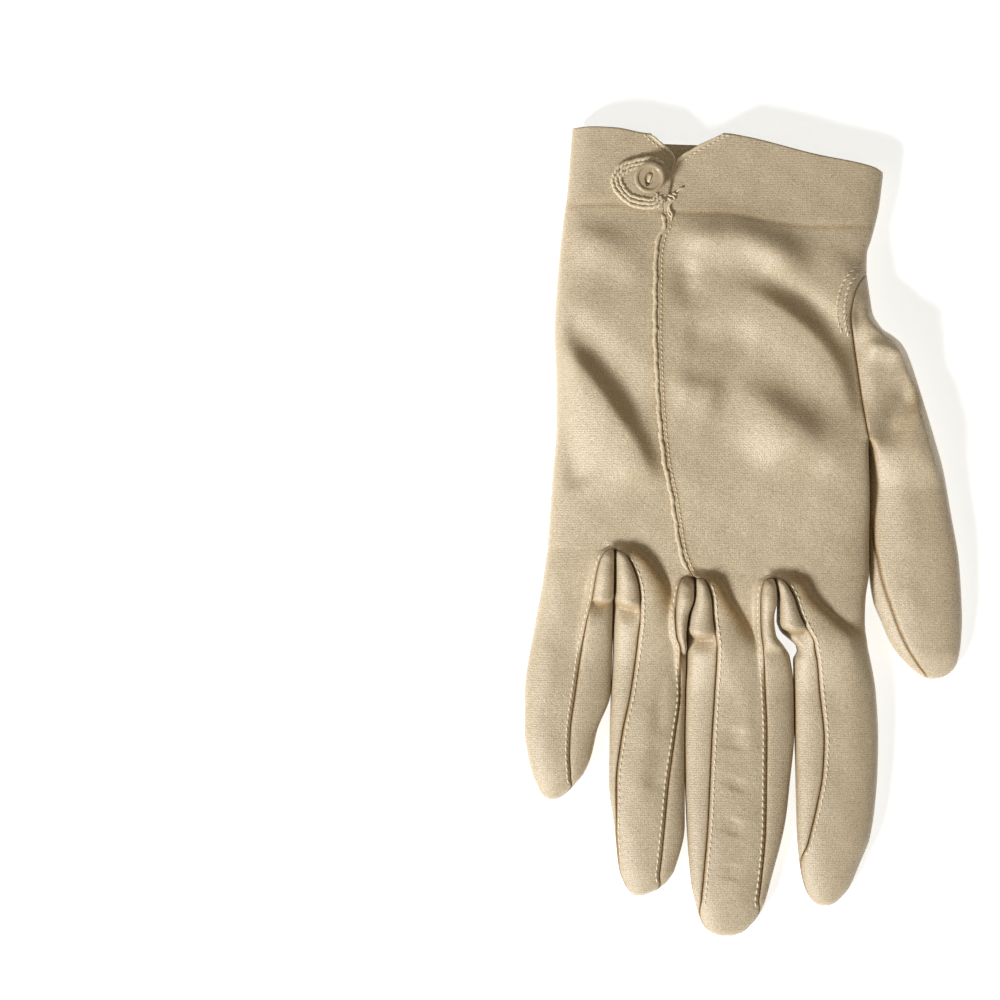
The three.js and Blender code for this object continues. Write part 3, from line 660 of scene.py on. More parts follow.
@dataclass(frozen=True)
class NodeCanvas:
    """A material's node tree, with short ways to add and link nodes."""

    material: Material

    def add(self, kind: str, **values: object) -> bpy.types.Node:
        """Add a node and set its properties.

        Args:
            kind: Type name of the node.
            values: Properties, and sockets by name with spaces as underscores.

        Returns:
            The node.
        """
        node = self.material.node_tree.nodes.new(kind)
        for key, value in values.items():
            socket = node.inputs.get(key.replace("_", " "))
            if socket is not None:
                socket.default_value = value
            else:
                setattr(node, key, value)
        return node

    def link(self, source: Socket, target: Socket) -> None:
        """Link two sockets."""
        self.material.node_tree.links.new(source, target)

    def feed(
        self, node: bpy.types.Node, keys: Iterable[int | str], values: Iterable[object]
    ) -> bpy.types.Node:
        """Give some inputs of a node their socket or their value, and return the node."""
        for key, value in zip(keys, values):
            if isinstance(value, Socket):
                self.link(value, node.inputs[key])
            else:
                node.inputs[key].default_value = value
        return node

    def math(self, operation: str, *values: object) -> Socket:
        """Add a Math node over sockets or numbers."""
        node = self.add("ShaderNodeMath", operation=operation)
        return self.feed(node, range(len(values)), values).outputs[0]

    def total(self, *terms: tuple[object, float], base: object = 0.0) -> object:
        """Add up sockets, each times its weight, over a base."""
        for socket, weight in terms:
            base = self.math("MULTIPLY_ADD", socket, weight, base)
        return base

    def wave(self, along: object, pitch: float) -> Socket:
        """Sine wave with a pitch in millimetres."""
        return self.math("SINE", self.math("MULTIPLY", along, 2.0 * math.pi / (pitch * MM)))

    def split(self, vector: Socket) -> list[Socket]:
        """X, Y and Z of a vector."""
        return list(self.feed(self.add("ShaderNodeSeparateXYZ"), [0], [vector]).outputs)

    def bump(self, shader: bpy.types.Node, height: Socket, strength: float, depth: float) -> None:
        """Drive the shader's normal by a height, over a depth in millimetres."""
        node = self.add("ShaderNodeBump", Strength=strength, Distance=depth * MM)
        self.link(height, node.inputs["Height"])
        self.link(node.outputs[0], shader.inputs["Normal"])

    def noise(self, scale: float, detail: float, coordinates: Socket) -> Socket:
        """Add a noise texture."""
        node = self.add("ShaderNodeTexNoise", Scale=scale, Detail=detail, Roughness=0.55)
        return self.feed(node, ["Vector"], [coordinates]).outputs["Fac"]

    def blend(self, factor: object, first: object, second: object, mode: str = "MIX") -> Socket:
        """Add a colour Mix node."""
        node = self.add("ShaderNodeMix", data_type="RGBA", blend_type=mode)
        return self.feed(node, (0, 6, 7), (factor, first, second)).outputs[2]


def new_material(name: str) -> tuple[NodeCanvas, bpy.types.Node]:
    """Start a material.

    Args:
        name: Name of the material.

    Returns:
        Its canvas and its shader.
    """
    material = bpy.data.materials.new(name)
    material.use_nodes = True
    shader = next(node for node in material.node_tree.nodes if node.type == "BSDF_PRINCIPLED")
    return NodeCanvas(material), shader


@dataclass(frozen=True)
class KnitFinish:
    """Fine ribbed knit: pale courses across the cloth, a soft grain, a faint uneven tint, and painted shade
    from a point attribute.
    """

    name: str
    light: Colour = (0.60, 0.50, 0.35, 1.0)
    dark: Colour = (0.50, 0.405, 0.27, 1.0)
    green: Colour = (0.50, 0.44, 0.29, 1.0)
    rose: Colour = (0.57, 0.45, 0.33, 1.0)
    # Painted shade: colours that the cloth is multiplied by as the point attribute rises, from none to a deep
    # shaded tone
    painted_shade_browns: tuple[tuple[float, Colour], ...] = (
        (0, (1, 1, 1, 1)), (0.6, (0.70, 0.565, 0.37, 1)), (1, (0.26, 0.18, 0.095, 1)),
    )
    dull: Colour = (0.47, 0.39, 0.27, 1.0)
    rib_pitch: float = 0.66
    wale_pitch: float = 0.6
    rib_depth: float = 0.13
    sheen: float = 0.3
    grain_scale: float = 2700.0
    slub_scale: float = 640.0
    roughness: float = 0.36
    dull_start: float = 0.015
    dull_rate: float = -11.0
    dull_most: float = 0.7

    def material(self) -> Material:
        """Build the material.

        The ribs are sin(2 pi v / pitch) along the cloth and the wales the same across it; both drive the
        bump, and the ribs tint the colour a little. Noise of three sizes gives grain, slubs and tint.

        Returns:
            The material.
        """
        canvas, shader = new_material(self.name)
        weave = canvas.add("ShaderNodeUVMap", uv_map="weave").outputs[0]
        place = canvas.add("ShaderNodeTexCoord").outputs["Object"]
        over, along, _ = canvas.split(weave)
        rib = canvas.wave(canvas.total((canvas.noise(90.0, 2.0, place), 0.0006), base=along), self.rib_pitch)
        wale = canvas.wave(over, self.wale_pitch)
        grain = canvas.noise(self.grain_scale, 2.0, place)
        slub = canvas.noise(self.slub_scale, 3.0, place)
        tint: object = self.light
        # Clouds of tint: grains for each metre, detail, weight, colour
        for scale, detail, weight, colour in (
            (38.0, 3.0, 0.55, self.dark), (17.0, 2.0, 0.5, self.green), (26.0, 2.0, 0.4, self.rose),
        ):
            share = canvas.math("MULTIPLY", canvas.noise(scale, detail, place), weight)
            tint = canvas.blend(share, tint, colour)
        # Darker and duller towards the fingertips, by the object's Y
        toward_tips = canvas.math("ADD", canvas.split(place)[1], self.dull_start)
        toward_tips = canvas.math("MAXIMUM", canvas.math("MULTIPLY", toward_tips, self.dull_rate), 0.0)
        toward_tips = canvas.math("MINIMUM", toward_tips, self.dull_most)
        tint = canvas.blend(toward_tips, tint, self.dull)
        shade = canvas.total((grain, 1.4), (slub, 0.25), (rib, 0.06), base=0.18)
        grey = canvas.feed(canvas.add("ShaderNodeCombineColor"), range(3), [shade] * 3)
        colour = canvas.blend(1.0, tint, grey.outputs[0], "MULTIPLY")
        # Painted shade: the point attribute darkens the cloth towards a warm shaded tone in creases, seams,
        # pockets and on slopes turned from the key light
        ramp = canvas.add("ShaderNodeValToRGB")
        canvas.link(canvas.add("ShaderNodeAttribute", attribute_name="painted_shade").outputs["Fac"], ramp.inputs[0])
        ramp.color_ramp.elements.new(0.5)
        for stop, (at, value) in zip(ramp.color_ramp.elements, self.painted_shade_browns):
            stop.position, stop.color = at, value
        names = ("Sheen Weight", "Sheen Roughness", "Sheen Tint", "Specular IOR Level")
        canvas.feed(shader, names, (self.sheen, 0.45, (1.0, 0.95, 0.85, 1.0), 0.75))
        canvas.link(canvas.blend(1.0, colour, ramp.outputs[0], "MULTIPLY"), shader.inputs["Base Color"])
        canvas.link(canvas.total((slub, 0.2), base=self.roughness), shader.inputs["Roughness"])
        relief = canvas.total((rib, 0.16), (wale, 0.08), (grain, 2.2), (slub, 1.2))
        canvas.bump(shader, relief, 0.55, self.rib_depth)
        return canvas.material


@dataclass(frozen=True)
class ThreadFinish:
    """Twisted cotton thread: pale, with fine strands."""

    name: str
    light: Colour = (0.88, 0.80, 0.62, 1.0)
    dark: Colour = (0.66, 0.56, 0.39, 1.0)
    strand_scale: float = 2600.0
    patch_scale: float = 300.0

    def material(self) -> Material:
        """Build the material: noise between two tints, and the same noise as a bump."""
        canvas, shader = new_material(self.name)
        place = canvas.add("ShaderNodeTexCoord").outputs["Object"]
        strand = canvas.noise(self.strand_scale, 2.0, place)
        patch = canvas.noise(self.patch_scale, 2.0, place)
        share = canvas.total((strand, 0.6), (patch, 0.3))
        canvas.link(canvas.blend(share, self.light, self.dark), shader.inputs["Base Color"])
        canvas.bump(shader, strand, 0.5, 0.05)
        canvas.feed(shader, ("Roughness", "Sheen Weight"), (0.6, 0.2))
        return canvas.material


@dataclass(frozen=True)
class ShellFinish:
    """Pearly button shell: cloudy pale layers under a polish."""

    name: str
    light: Colour = (0.58, 0.48, 0.34, 1.0)
    dark: Colour = (0.37, 0.28, 0.17, 1.0)
    cloud_scale: float = 260.0
    scratch_scale: float = 900.0

    def material(self) -> Material:
        """Build the material: drawn-out clouds between two tints, with a clear polish over them."""
        canvas, shader = new_material(self.name)
        place = canvas.add("ShaderNodeTexCoord").outputs["Object"]
        stretch = canvas.add("ShaderNodeMapping")
        canvas.feed(stretch, ("Scale", "Rotation", "Vector"), ((1.0, 2.4, 1.0), (0.0, 0.0, 0.5), place))
        cloud = canvas.noise(self.cloud_scale, 3.0, stretch.outputs[0])
        canvas.link(canvas.blend(cloud, self.light, self.dark), shader.inputs["Base Color"])
        scratch = canvas.noise(self.scratch_scale, 2.0, stretch.outputs[0])
        canvas.bump(shader, scratch, 0.12, 0.05)
        canvas.link(canvas.total((cloud, 0.15), base=0.2), shader.inputs["Roughness"])
        names = ("Coat Weight", "Coat Roughness", "Subsurface Weight", "Subsurface Scale")
        canvas.feed(shader, names, (0.35, 0.15, 0.08, 0.001))
        return canvas.material


FINGER_COLUMNS = ("y", "left", "seam_left", "seam_right", "right", "height", "bend")


@dataclass(frozen=True)
class FingerForm:
    """Sizes of one finger: its edges and back seams along Y, its height and how square it is.

    `fork_y` is where the right-hand edge starts, and the left-hand one starts `tilt` higher. Below
    `strip_end` the side strips have run out, on the right below `right_end` where that is given.
    """

    name: str
    fork_y: float
    tilt: float
    strip_end: float
    left_strip: bool
    right_strip: bool
    sizes: Table
    right_end: float | None = None
    steps: int = 150

    def shares(self) -> Array:
        """Shares of the way from the fork to the tip, closer together near the tip."""
        t = np.linspace(0.0, 1.0, self.steps)
        return t + 0.12 * np.sin(math.pi * t)

    def end(self, side: Side) -> float:
        """Y where the side strip starts to run out."""
        return self.strip_end if side is Side.LEFT or self.right_end is None else self.right_end

    def strip_sides(self) -> dict[Side, int]:
        """Sides that have a strip, each with the edge column beside it."""
        there = {Side.LEFT: self.left_strip, Side.RIGHT: self.right_strip}
        return {side: column for side, column in zip(Side, (0, -1)) if there[side]}

    def y(self, shares: Array) -> Array:
        """Y of the right-hand edge at some shares."""
        return mix(self.fork_y, self.sizes.last(), shares)

    def lean(self, shares: Array) -> Array:
        """How much higher the left-hand edge lies at some shares."""
        return self.tilt * (1.0 - smooth_step(0.0, 0.3, shares))

    def sections(self, shares: Array) -> Sections:
        """Cross-sections at some shares of the finger.

        Args:
            shares: Shares of the way from the fork to the tip.

        Returns:
            The sections, one row each.
        """
        y, lean = self.y(shares), self.lean(shares)
        height = self.sizes.at("height", y)
        return Sections(
            left=(self.sizes.at("left", y + lean) + SIDE_ROOM)[:, None],
            right=(self.sizes.at("right", y) - SIDE_ROOM)[:, None],
            height=height[:, None],
            waist=np.minimum(HAND_WAIST, height * WAIST_SHARE)[:, None],
            bend=self.sizes.at("bend", y)[:, None],
            closing=tip_closing(y, self.sizes.last()),
        )

    def seam(self, shares: Array, side: Side) -> Array:
        """Place across of a back seam.

        Args:
            shares: Shares of the way from the fork to the tip.
            side: Which seam.

        Returns:
            One column of places.
        """
        y = self.y(shares)
        if side is Side.LEFT:
            return self.sizes.at("seam_left", y + self.lean(shares))[:, None]
        return self.sizes.at("seam_right", y)[:, None]

    def seam_turn(self, shares: Array, side: Side, face: Face, room: float) -> Array:
        """Turn where a piece ends beside a side strip, or where it meets the other face.

        Past the strip's end the seam slides down the side to the waist within 11 mm.

        Args:
            shares: Shares of the way from the fork to the tip.
            side: Side of the finger.
            face: Back or palm end of the strip.
            room: Space kept to the seam, below 0 for the strip itself.

        Returns:
            One column of angles.
        """
        sections = self.sections(shares)
        closed = sections.side_turn(side, face)
        if side not in self.strip_sides():
            return closed
        if face is Face.BACK:
            place = self.seam(shares, side) - side.value * room
        else:
            place = sections.middle() + side.value * (PALM_SEAM_SHARE * sections.half() - room)
        sewn = sections.turn_at(place, face)
        gone = smooth_step(self.end(side) + 2.0, self.end(side) - 9.0, self.y(shares))[:, None]
        return mix(sewn, closed, gone)


LITTLE = FingerForm("little", -4.1, 0.0, -71.5, False, True, Table(FINGER_COLUMNS, (
    (-4.1, -55.5, -56, -36.9, -36.5, 12.6, 5),
    (-5, -55.6, -56, -38.9, -36.5, 12.5, 4.9),
    (-7.6, -56, -56, -40.7, -36.5, 12.2, 4.4),
    (-13.4, -56.8, -57, -42.1, -36.5, 11.7, 3.6),
    (-18.5, -57.7, -57, -42.9, -36.6, 11.2, 3.2),
    (-26, -59.1, -59, -44.7, -36.8, 10.6, 2.8),
    (-45.5, -62, -62, -47.6, -37.4, 9.8, 2.6),
    (-56.5, -62.1, -62, -49, -41.3, 9.2, 2.5),
    (-63.5, -61.1, -61, -49.2, -42.9, 8.6, 2.4),
    (-68.5, -59.9, -60, -48.9, -45, 7.8, 2.3),
    (-72.2, -58.4, -58.4, -48.9, -47.9, 6.6, 2.2),
    (-74.6, -57.2, -57.2, -50.4, -50.2, 5, 2),
    (-75.8, -55.9, -55.9, -52.4, -51.9, 4, 2),
    (-76.3, -54.6, -54.6, -53.5, -53.2, 3.2, 2),
)))
RING = FingerForm("ring", -12.2, 8.0, -92.0, True, True, Table(FINGER_COLUMNS, (
    (-4.1, -36.5, -36, -14, -13.7, 12.8, 5),
    (-5, -36.5, -33.6, -14, -13.7, 12.7, 4.9),
    (-8.2, -36.5, -31.3, -14, -13.7, 12.6, 4.6),
    (-12.2, -36.5, -29.9, -14.2, -13.7, 12.4, 4.1),
    (-13, -36.5, -29.7, -16.2, -13.7, 12.3, 4),
    (-14.6, -36.5, -29.5, -17.7, -13.8, 12.1, 3.8),
    (-18.5, -36.6, -29.3, -18.9, -13.9, 11.8, 3.4),
    (-24, -36.8, -29.4, -19.4, -15.5, 11.2, 3),
    (-29.5, -36.9, -29.9, -19, -16.1, 10.8, 2.9),
    (-33, -36.9, -30.2, -17.8, -15.9, 10.6, 2.8),
    (-45.5, -37.4, -31.9, -17.8, -16.2, 10, 2.6),
    (-57.5, -37.8, -34.3, -19.2, -16.4, 9.6, 2.6),
    (-71.5, -38, -35.9, -21.1, -16.3, 9.2, 2.5),
    (-83.5, -36.5, -35.9, -22.2, -16.3, 8.6, 2.4),
    (-96, -35.1, -34.8, -23.4, -19.1, 7, 2.2),
    (-99, -34.1, -33.8, -23.9, -20.8, 6.2, 2.1),
    (-101.4, -32.9, -32.7, -24.6, -23.2, 5.2, 2.1),
    (-103, -31.5, -31.5, -26, -26.2, 4.2, 2),
    (-103.8, -30.1, -29.9, -28.4, -28.2, 3.2, 2),
)), right_end=-99.0)
MIDDLE = FingerForm("middle", -12.2, 0.0, -106.0, True, True, Table(FINGER_COLUMNS, (
    (-12.2, -13.7, -13.2, 8.2, 8.6, 12.8, 5),
    (-13, -13.7, -11.5, 6.2, 8.8, 12.7, 4.8),
    (-15.4, -13.7, -10.1, 5, 9.3, 12.4, 4.2),
    (-19, -14, -9.1, 4.6, 9.6, 12, 3.6),
    (-24, -15.5, -8.7, 4.7, 8.8, 11.4, 3),
    (-29, -16.05, -8, 5, 9.4, 11, 2.8),
    (-32, -15.95, -7.6, 5.4, 11.6, 10.9, 2.7),
    (-35, -15.9, -7.6, 5.7, 13.5, 10.8, 2.7),
    (-45, -16.2, -8, 6.3, 14.75, 10.4, 2.6),
    (-57, -16.4, -8.7, 6.8, 14.85, 10, 2.6),
    (-70.5, -16.3, -9.3, 6.7, 13.7, 9.6, 2.5),
    (-82, -15.9, -9.8, 6.6, 12.4, 9.2, 2.5),
    (-99, -14.7, -11.1, 5.4, 8.3, 8, 2.3),
    (-105.3, -13.4, -11.6, 4.6, 6.6, 7.2, 2.2),
    (-110, -12, -11.4, 4, 4.3, 6, 2.2),
    (-112.6, -10.6, -10.4, 2.2, 2.2, 5, 2.1),
    (-114.4, -8.4, -8.2, 0, 0, 4, 2),
    (-115.3, -5.6, -5.4, -2.8, -2.8, 3.2, 2),
)))
INDEX = FingerForm("index", -12.3, 0.0, -91.0, True, False, Table(FINGER_COLUMNS, (
    (-12.3, 8.6, 9, 36, 36, 12.8, 5),
    (-13.1, 8.8, 10.7, 35.9, 35.9, 12.7, 4.8),
    (-14.8, 9.3, 12.2, 35.6, 35.6, 12.5, 4.5),
    (-18, 9.8, 14, 35.1, 35.1, 12.2, 4),
    (-22.3, 9.9, 15.5, 34.9, 34.9, 11.9, 3.6),
    (-25, 9.8, 16.7, 34.9, 34.9, 11.6, 3.2),
    (-28, 10.8, 18.3, 35.1, 35.1, 11.3, 3),
    (-30.5, 13.5, 19.7, 35.5, 35.5, 11, 2.9),
    (-32.2, 15.3, 20, 35.7, 35.7, 10.9, 2.85),
    (-33.8, 15.6, 20.3, 36, 36, 10.8, 2.8),
    (-36, 14.5, 20.8, 36.5, 36.5, 10.6, 2.7),
    (-45.5, 14.75, 21.8, 38.1, 38.1, 10.2, 2.6),
    (-59, 14.95, 23.1, 38.8, 38.8, 9.8, 2.6),
    (-68, 15.2, 22.7, 38.6, 38.6, 9.5, 2.6),
    (-77.5, 15.4, 21.1, 37.9, 37.9, 9.2, 2.5),
    (-86.5, 15.7, 19.1, 36.6, 36.6, 8.6, 2.4),
    (-95, 16.5, 17.2, 33.4, 33.4, 7.4, 2.3),
    (-101.5, 18, 18.6, 30.6, 30.6, 6, 2.2),
    (-104.2, 19.5, 20, 28.5, 28.5, 5, 2.1),
    (-105.9, 21.2, 21.4, 26.7, 26.7, 4, 2),
    (-106.7, 22.9, 23.1, 25, 25, 3.2, 2),
)))
FINGERS = {form.name: form for form in (LITTLE, RING, MIDDLE, INDEX)}


@dataclass(frozen=True)
class Hood:
    """The puffed start of two side strips at a finger fork, and the cloth that rolls off it to the right.

    Left of the hood the cloth drops steeply at the seam. Right of it the cloth stays high and then rolls
    down, ever steeper, to the `foot` line, where the flat of the hand begins.
    """

    left: FingerForm
    right: FingerForm
    x: float
    y: float
    height: float
    foot: Table
    left_lobe: float
    right_lobe: float

    def rise(self, x: Array, y: Array) -> Array:
        """Height that the hood adds to the back.

        It is H (1 - t^2.6)^0.8 from the hood's seam (t = 0) to its foot (t = 1).

        Args:
            x: Places across.
            y: Places along.

        Returns:
            Heights in millimetres.
        """
        below = self.y - y
        down = np.maximum(below, 0.0)
        left_seam = self.left.sizes.at("seam_right", self.left.fork_y - down)
        right_seam = self.right.sizes.at("seam_left", self.y - down)
        left_edge = np.where(below > 0.0, left_seam, self.x - 0.3)
        right_edge = np.where(below > 0.0, right_seam, self.x + 0.3)
        width = np.maximum(self.foot.at("x", y) - right_edge, 0.8)
        t = np.clip((x - right_edge) / width, 0.0, 1.0)
        over = (1.0 - t**2.6) ** 0.8
        fall = np.where(x < left_edge, bell(left_edge - x, 1.2), over)
        amount = smooth_step(-2.6, 2.4, below) * (1.0 - smooth_step(16.0, 34.0, below))
        return self.height * amount * fall

    def tint(self, x: Array, y: Array) -> Array:
        """Painted shade on the roll's steep side, within 3 mm of its foot."""
        below = self.y - y
        amount = smooth_step(-2.4, 0.5, below) * (1.0 - smooth_step(13.0, 22.0, below)) * (x > self.x)
        return 0.6 * amount * bell(x - self.foot.at("x", y) + 1.9, 2.7)


FOOT_COLUMNS = ("y", "x")
HOODS = (
    Hood(LITTLE, RING, -36.5, -4.1, 3.5, Table(FOOT_COLUMNS, (
        (-1.4, -36.3), (-2.2, -34.6), (-3.2, -31.2), (-5.8, -27.6), (-10.4, -23.6), (-14.7, -21.2),
        (-19.2, -20), (-24.4, -19.2), (-40, -18),
    )), 14.5, 15.0),
    Hood(RING, MIDDLE, -13.7, -12.1, 3.4, Table(FOOT_COLUMNS, (
        (-9.4, -13.5), (-10.2, -11.7), (-11.3, -8.3), (-13.8, -5.8), (-18.4, -3.5), (-24.1, 0.2),
        (-28.9, 2.6), (-33.5, 4.6), (-46, 6.2),
    )), 21.5, 16.3),
    Hood(MIDDLE, INDEX, 8.4, -12.3, 3.5, Table(FOOT_COLUMNS, (
        (-9.6, 8.7), (-10.4, 12), (-11.6, 15.7), (-13.8, 18.2), (-18.4, 20.8), (-22.1, 24.6),
        (-25.5, 28.4), (-28.6, 32.6), (-31.5, 36), (-46, 39),
    )), 20.0, 14.5),
)


@dataclass(frozen=True)
class HandForm:
    """Sizes of the hand from the finger forks to the cuff, and of its folds."""

    fork_line: Table = Table(("x", "y"), ((-56.0, -4.1), (-36.5, -4.1), (-13.6, -12.1), (36.0, -12.3)))
    cuff_line: Table = Table(("x", "y"), (
        (-48.5, 115), (-43, 115.3), (-36.5, 115), (-26, 113.3), (-5.5, 113.3), (0, 112.5),
        (20, 107.5), (37, 103.9), (40, 102.4),
    ))
    palm_drop: float = 2.6
    little_side: Table = Table(("y", "x"), (
        (115, -48.5), (96, -50), (89, -51), (74, -52.5), (57, -53.5), (43, -53),
        (30, -53), (17, -54), (4, -54.9), (-4, -55.5),
    ))
    index_side: Table = Table(("y", "x"), (
        (103, 40), (93, 38.8), (89, 38), (83, 36.5), (79, 35.4), (73.4, 35.3), (28, 35.3),
        (4, 36), (-12, 36),
    ))
    thumb_arc: Table = Table(("y", "x"), (
        (73.6, 35.25), (72.8, 34.4), (70.3, 32.5), (66.5, 31.1), (61, 30.3), (55, 31), (46.5, 32.2),
        (35.5, 33.8), (28, 35.1),
    ))
    height: Table = Table(("y", "z"), (
        (115, 10.6), (100, 11.2), (88, 12), (60, 14.2), (30, 14.4), (5, 13.6), (-12, 12.8),
    ))
    centre: Table = Table(("y", "left", "right"), (
        (113.3, -26.2, -5.7), (105.3, -19.2, -19), (104, -19.5, -19.5), (92.5, -22.8, -22.8),
        (90.2, -22.4, -22.4), (88.2, -21.6, -21.6), (85.9, -21.9, -21.9), (84, -23.1, -23.1),
        (77.5, -24.2, -24.2), (56.5, -24.5, -24.5), (43.5, -24, -24), (30.5, -23.2, -23.2),
        (19, -21.9, -21.9), (12, -20.2, -20.2), (4, -18.8, -18.8), (-4.4, -17.3, -17.3),
        (-12, -14, -13.8),
    ))
    hem_share: Table = Table(("x", "share"), ((-50.0, 0.812), (-23.0, 0.82), (5.0, 0.816), (36.0, 0.85)))
    hem_step: float = 0.3
    # Each fold: crest, height, left width, right width, then painted shade and ease where given
    folds: tuple[Fold, ...] = (
        Fold(((-54.5, 54.5), (-45.5, 45), (-37, 33.5), (-30, 22.5), (-25.5, 11.5)), 3.2, 3.8, 11.5, 0.3),
        Fold(((-53, 63), (-42.5, 52), (-34, 42), (-27.5, 30)), -1.5, 6, 4),
        Fold(((-53.5, 33), (-50, 22), (-45, 12)), -1.1, 4, 4),
        Fold(
            ((-9, 69), (2, 67), (11, 62), (17.5, 56.8), (23.5, 50), (27.5, 41), (30.5, 28)),
            2.2, 3.3, 10.0, 0.35, 0.36,
        ),
        Fold(((-5, 75), (5, 73.3), (15, 68), (22, 62.3), (28.5, 54.5), (31.6, 45)), -1.3, 3.4, 3.4, 0, 0.4),
        Fold(
            ((-24, 82.5), (-14, 84), (-3, 83.8), (6, 81.3), (13, 77), (18.5, 71.5)),
            3.7, 5.4, 5.8, 0.1, 0.3,
        ),
        Fold(((34, 78), (30, 70), (29, 62), (30.5, 52)), 1.4, 3, 5.5, 0, 0.25),
        Fold(((-2, 28), (12, 26.8), (24, 22.8), (35, 15)), 1.9, 9, 7, 0, 0.3),
        Fold(((-22, 150), (-22, 84)), -0.8, 13, 15, 0, 0.3),
        Fold(((-6, 40), (4, 36.5), (11, 32), (17, 27), (23, 20.5)), 3.3, 5.8, 12, 0.15, 0.35),
        Fold(((-22, 42), (-13, 40.5), (-4, 37.5)), 1.7, 4, 7.5, 0, 0.35),
        Fold(((-14, 78), (-16, 71.5), (-14.5, 62)), -1.3, 3.4, 3.6, 0, 0.4),
        Fold(((-18, 57), (-6, 55), (4, 52)), -0.9, 5, 5),
        Fold(((-54, 84), (-42, 82.5), (-27, 79.5)), 2, 4.5, 6.5, 0, 0.5),
        Fold(((-50, 74), (-38, 70.5), (-29, 68.5)), -1, 5.5, 6.5, 0, 0.5),
        Fold(((34.8, 66), (31.4, 60), (32, 50), (33, 40), (34.5, 31)), -1.2, 2.4, 3),
        Fold(((35.4, 64.5), (41, 59)), 0.9, 1.6, 4.5, 0, 0.4),
        Fold(((49.5, 45), (45.5, 38), (42, 30), (39.5, 22)), -2.1, 4, 4, 0.2, 0.35),
        Fold(((-22, 8), (-6, 12.5), (14, 11), (34, 5)), 0.7, 8, 9),
    )

    def row_y(self, x: Array, share: Array, face: Face) -> Array:
        """Y of the hand's rows."""
        across = np.clip((x + 4.5) / 44.5, -1.0, 1.0)
        drop = self.palm_drop * (1.0 - across**2) if face is Face.PALM else 0.0
        return mix(self.fork_line.at("y", x), self.cuff_line.at("y", x) - drop, share)

    def line_y(self, x: float, shares: Array) -> Array:
        """Y of the back's rows on a line at one place across."""
        return self.row_y(np.full(len(shares), x), shares, Face.BACK)

    def below_arc(self, shares: Array) -> Array:
        """How square the edge is beside the thumb's foot: 1 just below the arc, down to 0 near the fork."""
        return smooth_step(ARC_END - 0.26, ARC_END, shares) * (shares < ARC_END)

    def over_hem(self, x: Array, y: Array) -> Array:
        """Distance above the hem's line in millimetres."""
        fork = self.fork_line.at("y", x)
        return ((y - fork) / (self.cuff_line.at("y", x) - fork) - self.hem_share.at("share", x)) * HAND_LENGTH

    def on_arc(self, x: Array, y: Array, width: float) -> Array:
        """Bell curve of a width across the thumb's arc, 0 above and below it."""
        return bell(x - self.thumb_arc.at("x", y), width) * (y > ARC_FOOT_Y) * (y < ARC_TOP_Y)

    def sections(self, shares: Array, outer: Table) -> Sections:
        """Cross-sections of the hand. Beside the thumb's arc they take in the thumb.

        Args:
            shares: Shares of the way from the forks to the cuff's edge.
            outer: The thumb's outer side.

        Returns:
            The sections, one row each.
        """
        side_y = self.line_y(INDEX_X, shares)
        beside = (shares <= ARC_TOP) & (shares >= ARC_END)
        right = np.where(beside, outer.at("x", side_y), self.index_side.at("x", side_y))
        ones = np.ones((len(shares), 1))
        left = self.little_side.at("x", self.line_y(LITTLE_X, shares))
        return Sections(
            left=left[:, None],
            right=right[:, None],
            centre=((left + self.index_side.at("x", side_y)) / 2.0)[:, None],
            height=self.height.at("z", self.line_y(0.0, shares))[:, None],
            waist=HAND_WAIST * ones,
            bend=BACK_BEND * ones,
            right_bend=(BACK_BEND + 11.0 * self.below_arc(shares))[:, None],
        )

    def rim(self, x: Array, hand: Sections, shares: Array) -> Array:
        """Share of the relief that is kept, down to 0 at the sides of the hand."""
        width = (SIDE_EASE - 5.6 * self.below_arc(shares))[:, None]
        return smooth_step(0.0, SIDE_EASE, x - hand.left) * smooth_step(0.0, 1.0, (hand.right - x) / width)

    def relief(self, x: Array, y: Array) -> Array:
        """Height that folds, hoods and the hem add to the back of the hand.

        Args:
            x: Places across.
            y: Places along.

        Returns:
            Heights in millimetres.
        """
        total = sum(fold.rise(x, y) for fold in self.folds)
        total = total + sum(hood.rise(x, y) for hood in HOODS)
        over_hem = self.over_hem(x, y)
        total = total + self.hem_step * smooth_step(-3.0, 3.0, over_hem) - 0.22 * bell(over_hem, 0.8)
        total = total - 0.35 * self.on_arc(x, y, 0.45)
        ripple = np.sin(0.55 * x + 0.21 * y) * np.sin(0.33 * y - 0.12 * x + 1.0)
        return total + 0.07 * ripple

    def tint(self, x: Array, y: Array) -> Array:
        """Painted shade on the folds' shaded slopes, on the rolls under the hoods and in the hem's line."""
        total = sum(fold.tint(x, y) for fold in self.folds if fold.painted_shade)
        total = total + sum(hood.tint(x, y) for hood in HOODS)
        return total + 0.2 * bell(self.over_hem(x, y), 0.9) * smooth_step(2.0, 12.0, np.abs(x + 26.0))


HAND = HandForm()


